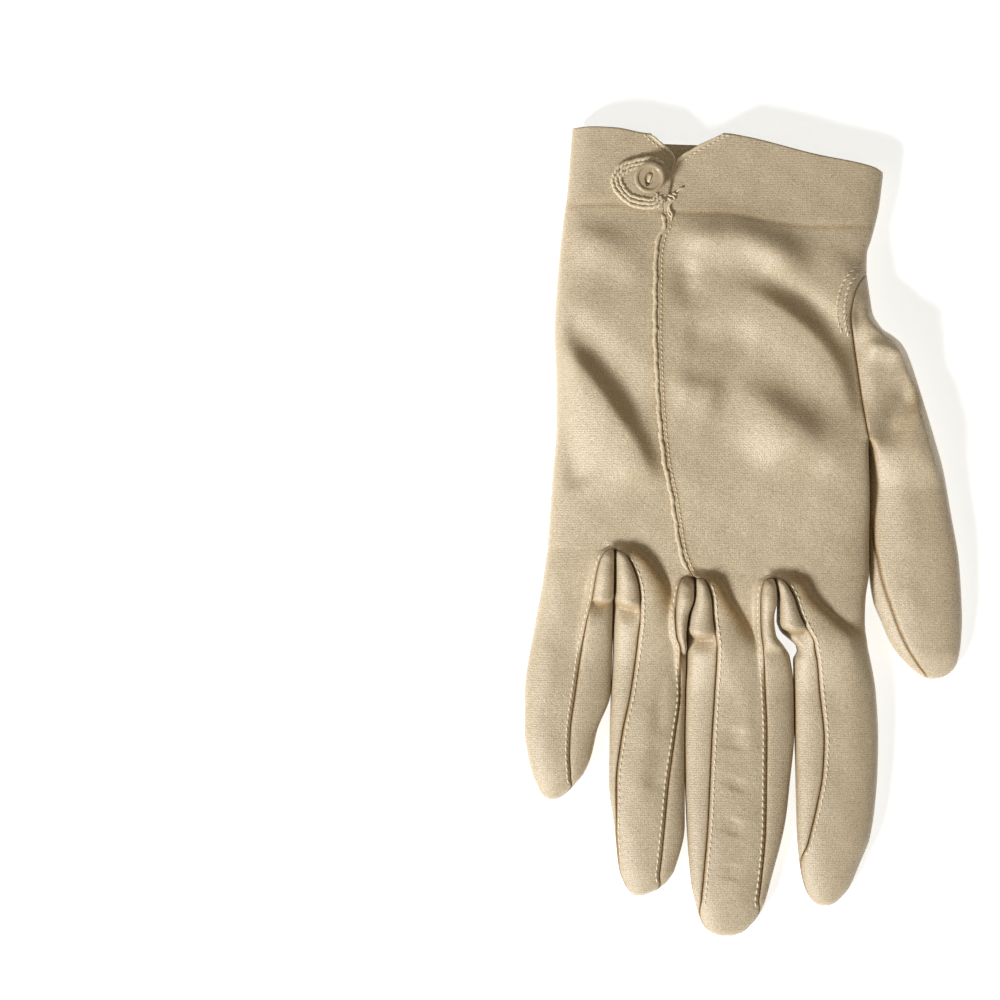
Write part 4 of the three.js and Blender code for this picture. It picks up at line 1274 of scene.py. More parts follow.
@dataclass(frozen=True)
class ThumbForm:
    """Sizes of the set-in thumb, from its arc seam to its tip."""

    tip_y: float = -41.9
    outer: Table = Table(("y", "x"), (
        (73.4, 35.3), (66.5, 36.3), (62.5, 37), (59.5, 39), (57.5, 42), (55, 45), (51.5, 47),
        (41, 50.5), (28, 54.4), (19, 57), (6, 59.3), (-8, 61.7), (-19.5, 62.5), (-25, 62.7),
        (-32.5, 62.3), (-36, 61.7), (-38.5, 60.9), (-40.6, 59), (-41.5, 57.3), (-41.9, 55.4),
    ))
    inner: Table = Table(("y", "x"), (
        (28, 35.4), (4, 36.1), (-8, 36.2), (-13, 36.4), (-19.5, 37.4), (-25, 39.6), (-32.5, 43),
        (-38.3, 47.9), (-40.6, 50.8), (-41.5, 52.6), (-41.9, 54.1),
    ))
    seam: Table = Table(("y", "x"), (
        (6, 37), (-2, 37.2), (-8, 38.5), (-13.8, 39.8), (-19.5, 41.7), (-28, 44.8), (-32.6, 47),
        (-38.3, 50.7), (-40.5, 52.6),
    ))
    height: Table = Table(("y", "z"), ((28.0, 12.6), (14.0, 10.6), (-20.0, 9.6), (-34.0, 8.0), (-41.9, 3.4)))

    def sections(self, shares: Array) -> Sections:
        """Cross-sections of the free thumb.

        Args:
            shares: Shares of the way from the arc's end to the tip.

        Returns:
            The sections, one row each.
        """
        y = mix(ARC_FOOT_Y, self.tip_y, shares)
        height = self.height.at("z", y)
        return Sections(
            left=self.inner.at("x", y)[:, None],
            right=self.outer.at("x", y)[:, None],
            height=height[:, None],
            waist=np.minimum(HAND_WAIST, height * WAIST_SHARE)[:, None],
            bend=mix(2.3, 2.2, shares)[:, None],
            right_bend=mix(3.4, 2.2, shares)[:, None],
            closing=tip_closing(y, self.tip_y),
        )


THUMB = ThumbForm()


@dataclass(frozen=True)
class StripPlan:
    """One finger's strip in a panel: its finger and its number of columns."""

    finger: FingerForm
    columns: int


@dataclass
class HandPanel:
    """A cloth panel from the cuff to the tips of some fingers, on the back or on the palm side.

    Its strips share their edge columns on the hand and part at the forks.
    """

    name: str
    plans: tuple[StripPlan, ...]
    face: Face
    flat: tuple[float, float, float]
    hand_steps: int = 215
    crowd: float = 0.45
    strips: dict[str, Grid] = field(default_factory=dict)

    def hand_shares(self) -> Array:
        """Shares of the hand's rows, from the cuff's edge to the forks."""
        return np.linspace(1.0, 0.0, self.hand_steps)

    def hand_edges(self, name: str, shares: Array) -> tuple[Array | None, Array | None]:
        """Edges of a finger's strip on the hand.

        Args:
            name: Name of the finger.
            shares: Shares of the hand's rows.

        Returns:
            Left and right edges as columns, None for a side that wraps round to the other face.
        """
        y = HAND.line_y(CENTRE_X, shares)
        rails = {
            "little_ring": mix(-36.5, -38.0, shares)[:, None],
            "ring_middle": mix(-13.7, -14.0, shares)[:, None],
            "middle_index": mix(8.5, 8.0, shares)[:, None],
        }
        ring_right = middle_left = rails["ring_middle"]
        if self.face is Face.BACK:
            ring_right = HAND.centre.at("left", y)[:, None] - SEAM_ROOM
            middle_left = HAND.centre.at("right", y)[:, None] + SEAM_ROOM
        edges = {
            "little": (None, rails["little_ring"]),
            "ring": (rails["little_ring"], ring_right),
            "middle": (middle_left, rails["middle_index"]),
            "index": (rails["middle_index"], None),
        }
        return edges[name]

    def hand_turns(self, name: str, shares: Array, sections: Sections) -> list[Array]:
        """First and last turn of a strip in each row of the hand.

        Beside the thumb the index strip ends at the arc, easing to the side within 12 mm of its foot.

        Args:
            name: Name of the finger.
            shares: Shares of the hand's rows.
            sections: Sections of those rows.

        Returns:
            The two columns of turns.
        """
        turns = []
        for side, edge in zip(Side, self.hand_edges(name, shares)):
            if edge is not None:
                turns.append(sections.turn_at(edge, self.face))
                continue
            closed = sections.side_turn(side, self.face)
            if side is Side.RIGHT:
                y = HAND.line_y(ARC_X, shares)
                arc = sections.turn_at(HAND.thumb_arc.at("x", y)[:, None] - SEAM_ROOM, self.face)
                low = smooth_step(ARC_END - 0.1, ARC_END, shares) * (shares <= ARC_TOP)
                closed = mix(closed, arc, low[:, None])
            turns.append(closed)
        return turns

    def build_strip(self, plan: StripPlan) -> Grid:
        """Surface of one finger's strip, from the cuff's edge to the fingertip.

        Args:
            plan: The strip.

        Returns:
            Its grid, with relief added to the back.
        """
        finger, shares = plan.finger, self.hand_shares()
        hand = HAND.sections(shares, THUMB.outer)
        start, stop = self.hand_turns(finger.name, shares, hand)
        x_hand, z_hand, _ = hand.point(even_turns(hand, start, stop, plan.columns, self.crowd))
        y_hand = HAND.row_y(x_hand, shares[:, None], self.face)
        down = finger.shares()[1:]
        tips = finger.sections(down)
        ends = [finger.seam_turn(down, side, self.face, SEAM_ROOM) for side in Side]
        x_tip, z_tip, top_tip = tips.point(even_turns(tips, ends[0], ends[1], plan.columns, self.crowd))
        lean = finger.lean(down)[:, None] * (tips.right - x_tip) / (tips.right - tips.left)
        y_tip = finger.y(down)[:, None] + lean
        fork = HAND.sections(np.zeros(1), THUMB.outer)
        near = 1.0 - smooth_step(0.0, FORK_EASE, HAND.fork_line.at("y", x_tip) - y_tip)
        shift, rim = 0.0, np.ones_like(x_tip)
        if not finger.left_strip:
            shift, rim = fork.left - tips.left, smooth_step(0.0, SIDE_EASE, x_tip - tips.left)
        if not finger.right_strip:
            shift, rim = fork.right - tips.right, smooth_step(0.0, SIDE_EASE, tips.right - x_tip)
        level = fork.height_at(x_tip + shift, self.face)
        if self.face is Face.PALM and not (finger.left_strip and finger.right_strip):
            inner = tips.right - x_tip if finger.right_strip else x_tip - tips.left
            z_tip = mix(z_tip, level, near * smooth_step(3.0, 9.0, inner))
        if self.face is Face.BACK:
            z_tip = mix(z_tip, level, near)
            foot = int(np.argmax(shares < ARC_END))
            jump = (z_hand[foot - 1] - z_hand[foot])[None, :]
            z_hand[foot:] += jump * (1.0 - smooth_step(0.0, 0.1, ARC_END - shares[foot:]))[:, None]
            z_hand = z_hand + HAND.relief(x_hand, y_hand) * HAND.rim(x_hand, hand, shares)
            firm = rim * np.maximum(smooth_step(0.1, 0.6, top_tip), near)
            z_tip = z_tip + self.finger_relief(finger, x_tip, y_tip, tips) * firm
        # Painted shade: from the hand's folds, hoods and hem line, beside the centre seam, in the thumb arc's
        # crease, and in the crease along each finger seam
        tint = np.zeros((len(x_hand) + len(x_tip), x_hand.shape[1]))
        if self.face is Face.BACK:
            tint[: len(x_hand)] = HAND.tint(x_hand, y_hand) + self.seam_painted_shade(finger, x_hand, y_hand)
            tint[len(x_hand):] = sum(hood.tint(x_tip, y_tip) for hood in HOODS)
            for column in finger.strip_sides().values():
                tint[len(x_hand):] += 0.9 * bell(x_tip - x_tip[:, column][:, None], 0.32)
        grid = Grid(
            x=np.concatenate([x_hand, x_tip]),
            y=np.concatenate([y_hand, y_tip]),
            z=np.concatenate([z_hand, z_tip]),
            turned=self.face is Face.PALM,
            tint=tint,
        )
        self.strips[finger.name] = grid
        return grid

    def seam_painted_shade(self, finger: FingerForm, x: Array, y: Array) -> Array:
        """Painted shade beside the centre seam (within 1 mm) and in the crease of the thumb's arc (0.5 mm).

        Args:
            finger: The finger whose strip this is.
            x: Places across.
            y: Places along.

        Returns:
            Shares from 0 up.
        """
        if finger.name == "index":
            return 0.9 * HAND.on_arc(x, y, 0.3)
        centre = np.abs(x - HAND.centre.at("left", y))
        return 0.4 * bell(centre - 0.9, 0.7) * (y < WELT_START_Y) * (finger.name != "little")

    def finger_relief(self, finger: FingerForm, x: Array, y: Array, tips: Sections) -> Array:
        """Height added to a finger's back: hoods, the groove at each seam, small dents and puckers.

        Args:
            finger: The finger.
            x: Places across.
            y: Places along.
            tips: Sections of the rows.

        Returns:
            Heights in millimetres.
        """
        total = sum(form.rise(x, y) for form in HOODS + FINGER_DENTS)
        below = HAND.fork_line.at("y", x) - y
        for column in finger.strip_sides().values():
            gap = np.abs(x - x[:, column][:, None])
            tip = smooth_step(0.9, 1.0, (finger.fork_y - y) / 95.0)
            total = total - 0.42 * smooth_step(0.5, 3.0, below) * (1.0 - tip) * bell(gap, 0.5)
            pucker = np.sin(2.0 * math.pi * y / 1.9) * bell(gap - 1.0, 0.8)
            total = total + 0.05 * pucker
        wave = np.sin(0.31 * y + 0.4 * finger.fork_y) * np.sin(0.5 * (x - tips.middle()) + 0.6)
        return total + 0.1 * wave * smooth_step(4.0, 12.0, below)

    def build(self, material: Material) -> None:
        """Build the panel and dress it.

        Where two strips share a column on the hand, the second one takes the first one's points.

        Args:
            material: Its cloth.
        """
        parts, number = [], 0
        shared = np.zeros(0, dtype=int)
        for plan in self.plans:
            grid = self.build_strip(plan)
            width = grid.x.shape[1]
            table = np.arange(number + grid.x.size)
            first = number + width * np.arange(self.hand_steps)
            table[first[: len(shared)]] = shared
            parts.append((grid.points(), table[grid.faces(first=number)], grid.weave(), grid.tint.ravel()))
            shared = first + width - 1
            number += grid.x.size
        points, faces, weave, tint = (np.concatenate(part) for part in zip(*parts))
        used, faces = np.unique(faces, return_inverse=True)
        sew(self.name, [points[used], faces.reshape(-1, 4), weave[used], tint[used]], material)


FINGER_DENTS = (
    Fold(((-1.6, -55), (-2.6, -62)), -0.5, 3.6, 3.6),
    Fold(((-1.6, -69.5), (-2.8, -73)), -0.4, 3.2, 3.4),
    Fold(((-2, -81), (-3.4, -86)), -0.4, 3.2, 3),
    Fold(((-2.6, -94), (-3.2, -99)), -0.3, 3, 3),
    Fold(((-7, -30), (-4, -40), (3, -48)), 0.5, 3.5, 4),
    Fold(((-25, -58), (-23.5, -66), (-26, -74)), -0.4, 3, 3),
    Fold(((-26, -46), (-28, -62), (-29.5, -78)), 0.35, 2.6, 3),
    Fold(((-23, -40), (-24.5, -58)), -0.3, 1.8, 1.8),
    Fold(((-55, -30), (-57.5, -50)), 0.25, 3, 3),
    Fold(((30, -40), (32, -66)), 0.25, 3.5, 3.5),
    Fold(((1, -44), (2, -64)), 0.3, 2.2, 2.6),
)


@dataclass
class SideStrip:
    """The strip of cloth between a finger's back and its under side, with a puffed lobe at the fork."""

    finger: FingerForm
    side: Side
    back: Grid
    lobe_end: float
    flat: tuple[float, float]
    pocket: float
    lobe_height: float = 2.0
    columns: int = 26

    def build(self, material: Material, node: str) -> None:
        """Build the strip and dress it.

        Its upper edge follows the back panel's edge, and w runs from 0 there to 1 at the widest place. The
        lobe adds a height of H (4 w (1 - w))^0.55, eases in below the fork and ends in a short steep fold
        with a pocket under it.

        Args:
            material: Its cloth.
            node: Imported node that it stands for.
        """
        finger, side = self.finger, self.side
        shares = finger.shares()
        shares = shares[finger.y(shares) > finger.end(side) - 7.3]
        sections = finger.sections(shares)
        start = finger.seam_turn(shares, side, Face.BACK, -SEAM_ROOM)
        stop = finger.seam_turn(shares, side, Face.PALM, -SEAM_ROOM)
        if side is Side.RIGHT:
            stop = stop - 2.0 * math.pi
        turns = even_turns(sections, start, stop, self.columns, 0.3)
        x, z, top = sections.point(turns)
        lean = finger.lean(shares)[:, None] * (sections.right - x) / (sections.right - sections.left)
        y = finger.y(shares)[:, None] + lean
        hand_rows = len(self.back.x) - finger.steps
        edge = self.back.z[hand_rows: hand_rows + len(shares), finger.strip_sides()[side]][:, None]
        outer = sections.left if side is Side.LEFT else sections.right
        w = np.clip((x - x[:, :1]) / np.where(outer == x[:, :1], 1e-6, outer - x[:, :1]), 0.0, 1.0)
        upper = top > 0.0
        full = smooth_step(0.1, 2.0, np.abs(outer - x[:, :1]))
        z = z + (edge - z[:, :1]) * (1.0 - w**12) * upper * full
        below = HAND.fork_line.at("y", x) - y
        round_end = self.lobe_end + 1.2 - 4.8 * (w - 0.5) ** 2
        swell = (4.0 * w * (1.0 - w)) ** 0.55 * upper * full
        length = smooth_step(-0.5, 3.0, below) * (1.0 - smooth_step(round_end - 1.0, round_end + 0.4, below))
        z = z + np.maximum(edge - z, 0.0) * (1.0 - w**30) * upper * full * (0.3 + 0.55 * length)
        z = z + self.lobe_height * length * swell
        after = smooth_step(round_end - 0.4, round_end + 0.6, below)
        z = z - self.pocket * after * bell(below - round_end - 0.4, 3.2) * swell
        z = z + 0.55 * swell * smooth_step(3.0, 8.0, below)
        # Painted shade: in the crease along the strip's seam, in the pocket under the lobe's end, and where
        # the strip turns under beside the next finger
        tint = 0.9 * bell(x - x[:, :1], 0.32) * upper
        tint = tint + 0.27 * self.pocket * bell(below - round_end - 0.8, 1.0) * swell
        tint = tint + 0.55 * smooth_step(0.9, 1.0, w) * upper
        sew(node, Grid(x, y, z, turned=side is Side.LEFT, tint=tint).cloth(), material)


@dataclass
class Thumb:
    """The set-in thumb: an upper and an under piece, sewn to the hand along the arc."""

    upper_flat: tuple[float, float, float]
    lower_flat: tuple[float, float, float]
    columns: int = 64
    arc_steps: int = 84
    free_steps: int = 130

    def surface(self, face: Face) -> Grid:
        """Surface of one piece of the thumb.

        Beside the hand its rows are those of the hand, from the arc outwards. Below the arc's foot it has
        sections of its own, and its inner edge eases from the arc to the thumb's inner side.

        Args:
            face: Upper or under piece.

        Returns:
            Its grid.
        """
        shares = np.linspace(ARC_TOP, ARC_END, self.arc_steps)
        hand = HAND.sections(shares, THUMB.outer)
        y_arc = HAND.line_y(ARC_X, shares)
        start = hand.turn_at(HAND.thumb_arc.at("x", y_arc)[:, None] + SEAM_ROOM, face)
        stop = hand.side_turn(Side.RIGHT, face)
        x_arc, z_arc, _ = hand.point(even_turns(hand, start, stop, self.columns, 0.3))
        rows_y = HAND.row_y(x_arc, shares[:, None], face)
        down = np.linspace(0.0, 1.0, self.free_steps)[1:]
        free = THUMB.sections(down)
        stop = free.side_turn(Side.RIGHT, face)
        open_turn = free.turn_at(free.left + 0.1, face)
        start = mix(open_turn, free.side_turn(Side.LEFT, face), smooth_step(0.0, 0.03, down)[:, None])
        x_free, z_free, top_free = free.point(even_turns(free, start, stop, self.columns, 0.3))
        y_free = mix(ARC_FOOT_Y, THUMB.tip_y, down)[:, None] + 0.0 * x_free
        foot = HAND.sections(np.array([ARC_END]), THUMB.outer)
        tilt = HAND.row_y(x_free, np.array([[ARC_END]]), face) - ARC_FOOT_Y
        y_free = y_free + tilt * (1.0 - smooth_step(0.0, 0.3, down))[:, None]
        if face is Face.BACK:
            near = (1.0 - smooth_step(0.0, 0.22, down))[:, None]
            start = smooth_step(0.0, 0.1, down)[:, None]
            firm = mix(np.ones_like(x_free), smooth_step(0.3, 0.8, top_free), start)
            level = foot.height_at(x_free + foot.right - free.right)
            z_free = z_free + (level - z_free) * near * firm
            z_arc = z_arc + HAND.relief(x_arc, rows_y) * HAND.rim(x_arc, hand, shares)
            z_arc = z_arc + self.dents(x_arc, rows_y, hand.right)
            gap = np.abs(x_free - THUMB.seam.at("x", y_free))
            groove = 0.55 * bell(gap, 0.4) * smooth_step(8.0, -4.0, y_free)
            rim = smooth_step(0.0, SIDE_EASE, free.right - x_free)
            relief = HAND.relief(x_free, y_free) * near * rim
            relief = relief + self.dents(x_free, y_free, free.right)
            z_free = z_free + relief - groove * smooth_step(0.1, 0.5, top_free)
            # Painted shade: in the arc seam's crease and the thumb seam's groove, painted shadow where the
            # thumb's inner edge lies under the hand, and the hand's own painted shade
            tint = 0.9 * bell(x_arc - x_arc[:, :1], 0.3) + HAND.tint(x_arc, rows_y)
            tucked_shadow = 0.45 * bell(x_free - free.left, 2.6) * smooth_step(-16.0, -4.0, y_free)
            tint_free = 1.6 * groove + tucked_shadow + HAND.tint(x_free, y_free) * near
            tint = np.concatenate([tint, tint_free])
        else:
            near = (1.0 - smooth_step(0.0, 0.3, down))[:, None]
            near = near * smooth_step(0.0, SIDE_EASE, x_free - free.left)
            z_free = mix(z_free, foot.height_at(x_free + foot.right - free.right, face), near)
            tint = np.zeros((len(x_arc) + len(x_free), x_arc.shape[1]))
        return Grid(
            x=np.concatenate([x_arc, x_free]),
            y=np.concatenate([rows_y, y_free]),
            z=np.concatenate([z_arc, z_free]),
            turned=face is Face.PALM,
            tint=tint,
        )

    def dents(self, x: Array, y: Array, right: Array) -> Array:
        """Soft folds of the thumb's back, faded out within 3 mm of its outer edge."""
        return sum(fold.rise(x, y) for fold in THUMB_FOLDS) * smooth_step(0.0, 3.0, right - x)

    def build(self, material: Material) -> None:
        """Build both pieces and dress them in their cloth."""
        sew("thumb_upper", self.surface(Face.BACK).cloth(), material)
        sew("thumb_lower", self.surface(Face.PALM).cloth(), material)


THUMB_FOLDS = (
    Fold(((44, 22), (46, 8), (48.5, -8)), 0.5, 4, 4.5),
    Fold(((49, 38), (52, 27), (54.5, 12)), 1.1, 2.6, 8),
    Fold(((36.5, 66), (41, 58.5), (46, 50.5), (50, 40)), 1.9, 2.5, 6.5, 0, 0.2),
    Fold(((33.5, 53), (38, 52.6), (43, 51.5), (47, 49)), 1.6, 1.8, 3.2, 0, 0.3),
    Fold(((46, -14), (50, -26)), 0.3, 3.5, 3),
)


@dataclass
class Hem:
    """The turned-in layer of the cuff's hem, inside one panel."""

    name: str
    flat: tuple[float, float]
    thickness: float = 0.7
    inset: float = 1.15
    rows: int = 42

    def build(self, panel: HandPanel, material: Material) -> None:
        """Build the layer from the panel's own surface, moved inwards.

        Args:
            panel: The panel that it lines.
            material: Its cloth.
        """
        parts = [panel.strips[plan.finger.name] for plan in panel.plans]
        x, y, z = (
            np.concatenate([values[2: self.rows, min(k, 1):] for k, values in enumerate(each)], axis=1)
            for each in zip(*((part.x, part.y, part.z) for part in parts))
        )
        along = np.gradient(x, axis=1)
        up = np.gradient(z, axis=1)
        inset = panel.face.value * self.inset / np.maximum(np.hypot(along, up), TINY)
        grid = Grid(x + inset * up, y, z - inset * along, turned=panel.face is Face.PALM)
        sew(self.name, grid.cloth(), material, self.thickness)


def surface_height(grids: list[Grid], x: Array, y: Array) -> Array:
    """Height of the highest of some surfaces under places, by the nearest point of each.

    Args:
        grids: The surfaces.
        x: Places across.
        y: Places along.

    Returns:
        Heights in millimetres.
    """
    points = np.concatenate([grid.points() for grid in grids])
    low = (points[:, 0] > x.min() - 2.0) & (points[:, 0] < x.max() + 2.0)
    low &= (points[:, 1] > y.min() - 2.0) & (points[:, 1] < y.max() + 2.0) & (points[:, 2] > 6.0)
    points = points[low]
    flat = np.stack([x.ravel(), y.ravel()], axis=1)
    gap = ((flat[:, None, :] - points[None, :, :2]) ** 2).sum(axis=2)
    nearest = np.argpartition(gap, 4, axis=1)[:, :4]
    weight = 1.0 / (np.take_along_axis(gap, nearest, axis=1) + 1e-3)
    return ((points[nearest, 2] * weight).sum(axis=1) / weight.sum(axis=1)).reshape(x.shape)


def laid(grids: list[Grid], knots: tuple[tuple[float, float], ...], count: int, lift: Array | float) -> Array:
    """Smooth line laid on some surfaces."""
    x, y = smooth_line(knots, count)
    return np.stack([x, y, surface_height(grids, x, y) + lift], axis=1)


@dataclass
class Fastening:
    """The button, its loop tab with corded rows, and the thread that carries it."""

    x: float = -26.8
    y: float = 100.2
    thickness: float = 2.1
    lift: float = 1.3
    reach_left: float = 10.9
    reach_right: float = 6.4
    reach_up: float = 6.3
    reach_down: float = 8.8
    tab_thickness: float = 0.9
    tab_gap: float = 0.2
    eye_length: float = 5.0
    eye_width: float = 2.9
    eye_depth: float = 0.6
    eye_turn: float = math.radians(71.0)
    hole_spacing: float = 2.6
    hole_radius: float = 0.55
    ridge_radius: float = 0.6
    ridge_insets: tuple[float, ...] = (0.55, 1.7, 2.85)

    def tab_place(self, angle: Array, inset: Array) -> tuple[Array, Array]:
        """Place on the tab: a quarter ellipse of its own in each quadrant round the button.

        Args:
            angle: Angles round the button.
            inset: Distance in from the tab's outline.

        Returns:
            Places across and along.
        """
        across, up = np.cos(angle), np.sin(angle)
        wide = np.where(across < 0.0, self.reach_left, self.reach_right)
        high = np.where(up > 0.0, self.reach_up, self.reach_down)
        return self.x + across * (wide - inset), self.y + up * (high - inset)

    def build_tab(self, grids: list[Grid], material: Material) -> None:
        """Build the tab: rings from its eyelet to its outline, laid on the back, with a rounded edge.

        Args:
            grids: Surfaces that it lies on.
            material: Its cloth.
        """
        angle = np.linspace(0.0, 2.0 * math.pi, 97)[None, :-1]
        share = np.concatenate([np.linspace(0.0, 0.94, 16), [0.975, 1.0]])[:, None]
        outline_x, outline_y = self.tab_place(angle, 0.0)
        x = mix(self.x + 1.8 * np.cos(angle), outline_x, share)
        y = mix(self.y + 1.8 * np.sin(angle), outline_y, share)
        ground = surface_height(grids, x, y)
        smooth = mix(ground.max(), ground, smooth_step(0.0, 1.0, share))
        level = np.maximum(ground, mix(smooth, ground, 0.5)) + self.tab_gap
        round_off = np.sqrt(np.clip(1.0 - np.clip((share - 0.9) / 0.1, 0.0, 1.0) ** 2, 0.05, 1.0))
        top = level + self.tab_thickness * round_off
        rows = np.concatenate([top, level[::-1]])
        x = np.concatenate([x, x[::-1]])
        y = np.concatenate([y, y[::-1]])
        points = np.stack([x.ravel(), y.ravel(), rows.ravel()], axis=1)
        number = np.arange(x.size).reshape(x.shape)
        after = np.roll(number, -1, axis=1)
        ring = np.roll(number, -1, axis=0)
        corners = [number, ring, np.roll(ring, -1, axis=1), after]
        faces = np.stack(corners, axis=2).reshape(-1, 4)
        piece = add_mesh("button_tab", points, faces, points[:, :2])
        dress(piece, material, Finish.TAB, "button_tab")

    def build_ridges(self, grids: list[Grid], material: Material) -> None:
        """Build the corded rows of the tab: two strands twisted together along each oval.

        Args:
            grids: Surfaces under the tab.
            material: Their thread.
        """
        names = ("tab_ridge_outer", "tab_ridge_middle", "tab_ridge_inner")
        for number, (name, inset) in enumerate(zip(names, self.ridge_insets)):
            angle = np.linspace(0.75 - 0.1 * number, 5.55, 240)
            wobble = 0.12 * np.sin(7.0 * angle + number) + 0.08 * np.sin(19.0 * angle + 2.0 * number)
            x, y = self.tab_place(angle, inset + wobble)
            z = surface_height(grids, x, y) + self.tab_gap + self.tab_thickness + 0.12
            rope = self.rope(np.stack([x, y, z], axis=1), self.ridge_radius * (1.0 - 0.05 * number), 1.35)
            dress(add_mesh(name, *rope), material, Finish.SEAM, name)

    def rope(self, path: Array, radius: float, lay: float) -> tuple[Array, Array]:
        """Two-strand rope: its radius is r (0.72 + 0.34 |cos(turn - pi s / lay)|) at a length s."""
        length = length_along(path)
        strand = np.abs(np.cos(circle(10) - math.pi * length / lay))
        return round_cord(path, radius * (0.72 + 0.34 * strand) * end_taper(length, radius, 0.25), 10)

    def base(self, grids: list[Grid]) -> float:
        """Height of the button's under side."""
        ground = float(surface_height(grids, np.array([self.x]), np.array([self.y]))[0])
        return ground + 0.34 * 2.0 + 1.0 + self.lift

    def build_button(self, grids: list[Grid], material: Material) -> None:
        """Build the button: a lathe profile with an eye-shaped hollow and two thread holes in its face.

        The eye sinks by its depth within 0.45 of the way from its outline to its axis, by a smooth step,
        and each hole is a steep round dent.

        Args:
            grids: Surfaces under the tab.
            material: Its shell.
        """
        base = self.base(grids)
        top = base + self.thickness
        profile = Table(("t", "r", "z"), (
            (0, 0.02, base), (0.1, 1.5, base), (0.2, 3, base), (0.27, 3.9, base + 0.35),
            (0.33, 4.35, base + 0.95), (0.38, 4.4, base + 1.4), (0.43, 4.2, base + 1.85), (0.48, 3.85, top),
            (0.53, 3.45, top - 0.05), (0.6, 2.95, top - 0.45), (0.8, 1.4, top - 0.5), (1.0, 0.02, top - 0.5),
        ))
        t = np.linspace(0.0, 1.0, 110)[:, None]
        angle = circle(96)
        radius = profile.at("r", t)
        x, y = radius * np.cos(angle), radius * np.sin(angle)
        z = profile.at("z", t) + 0.0 * angle
        along = x * math.cos(self.eye_turn) + y * math.sin(self.eye_turn)
        beside = -x * math.sin(self.eye_turn) + y * math.cos(self.eye_turn)
        half = self.eye_width / 2.0 * np.clip(1.0 - (2.0 * along / self.eye_length) ** 2, 0.0, 1.0)
        inside = np.clip(1.0 - np.abs(beside) / np.maximum(half, 1e-3), 0.0, 1.0) * (half > 0.0)
        facing = t > 0.5
        z = z - self.eye_depth * smooth_step(0.0, 0.45, inside) * facing
        for side in Side:
            away = np.hypot(along - side.value * self.hole_spacing / 2.0, beside)
            z = z - 0.75 * (1.0 - smooth_step(self.hole_radius * 0.6, self.hole_radius * 1.1, away)) * facing
        points = np.stack([(x + self.x).ravel(), (y + self.y).ravel(), z.ravel()], axis=1)
        faces = np.roll(tube_faces(*x.shape), -1, axis=1)
        number = np.arange(x.size).reshape(x.shape)
        piece = add_mesh("button", points, np.concatenate([faces, *self.caps(number)]))
        dress(piece, material, Finish.BUTTON, "button")

    def caps(self, number: Array) -> list[Array]:
        """Faces that close the first and the last ring of points, in strips across them."""
        half = number.shape[1] // 2
        rings = [(ring[:half], ring[half:][::-1]) for ring in (number[0][::-1], number[-1])]
        return [np.stack([low[:-1], low[1:], high[1:], high[:-1]], axis=1) for low, high in rings]

    def build_thread(self, grids: list[Grid], material: Material) -> None:
        """Build the thread: three strands from hole to hole over the button, and a wound shank under it.

        Args:
            grids: Surfaces under the tab.
            material: Its thread.
        """
        base = self.base(grids)
        seat = base + self.thickness - 0.42 - self.eye_depth
        t = np.linspace(-1.0, 1.0, 24)
        parts = []
        for number in (-1, 0, 1):
            along = t * self.hole_spacing / 2.0
            beside = 0.26 * number * (1.0 - 0.4 * t**2)
            x = self.x + along * math.cos(self.eye_turn) - beside * math.sin(self.eye_turn)
            y = self.y + along * math.sin(self.eye_turn) + beside * math.cos(self.eye_turn)
            z = seat + 0.32 - 0.75 * np.abs(t) ** 5
            parts.append(round_cord(np.stack([x, y, z], axis=1), 0.17))
        ground = base - self.lift - 1.0 - 0.34
        level = np.linspace(ground, base - 0.1, 30)[:, None]
        coil = 1.25 + 0.1 * np.sin(level * 14.0)
        around = circle(24)
        x, y = self.x + coil * np.cos(around), self.y + coil * np.sin(around)
        points = np.stack([x.ravel(), y.ravel(), (level + 0.0 * around).ravel()], axis=1)
        number = np.arange(x.size).reshape(x.shape)
        parts.append((points, np.concatenate([tube_faces(*x.shape), *self.caps(number)])))
        piece = add_mesh("button_thread", *join_meshes(parts))
        dress(piece, material, Finish.THREAD, "button_thread")


ARC_ROWS = (
    ((32.5, 76.0), (29.4, 72.7), (27.2, 68.7), (26.2, 63.4), (26.8, 58.6), (28.5, 55.4)),
    ((34.0, 74.6), (31.2, 72.0), (29.2, 68.3), (28.4, 63.4), (28.7, 58.6), (30.0, 54.6)),
)


THREAD_ENDS = (
    ((-19.6, 94.4), (-20.8, 93.2), (-21.5, 91.6), (-21.2, 90.2), (-20.2, 89.2)),
    ((-20.0, 94.3), (-21.2, 92.8), (-21.0, 91.4), (-20.3, 90.0), (-20.6, 88.4)),
    ((-22.6, 96.2), (-21.2, 95.6), (-20.0, 95.2), (-19.4, 94.4)),
    ((-23.4, 94.9), (-22.0, 95.0), (-20.6, 94.2)),
    ((-19.0, 96.6), (-18.0, 97.4), (-17.2, 97.8)),
    ((-20.2, 96.2), (-19.0, 95.8)),
)


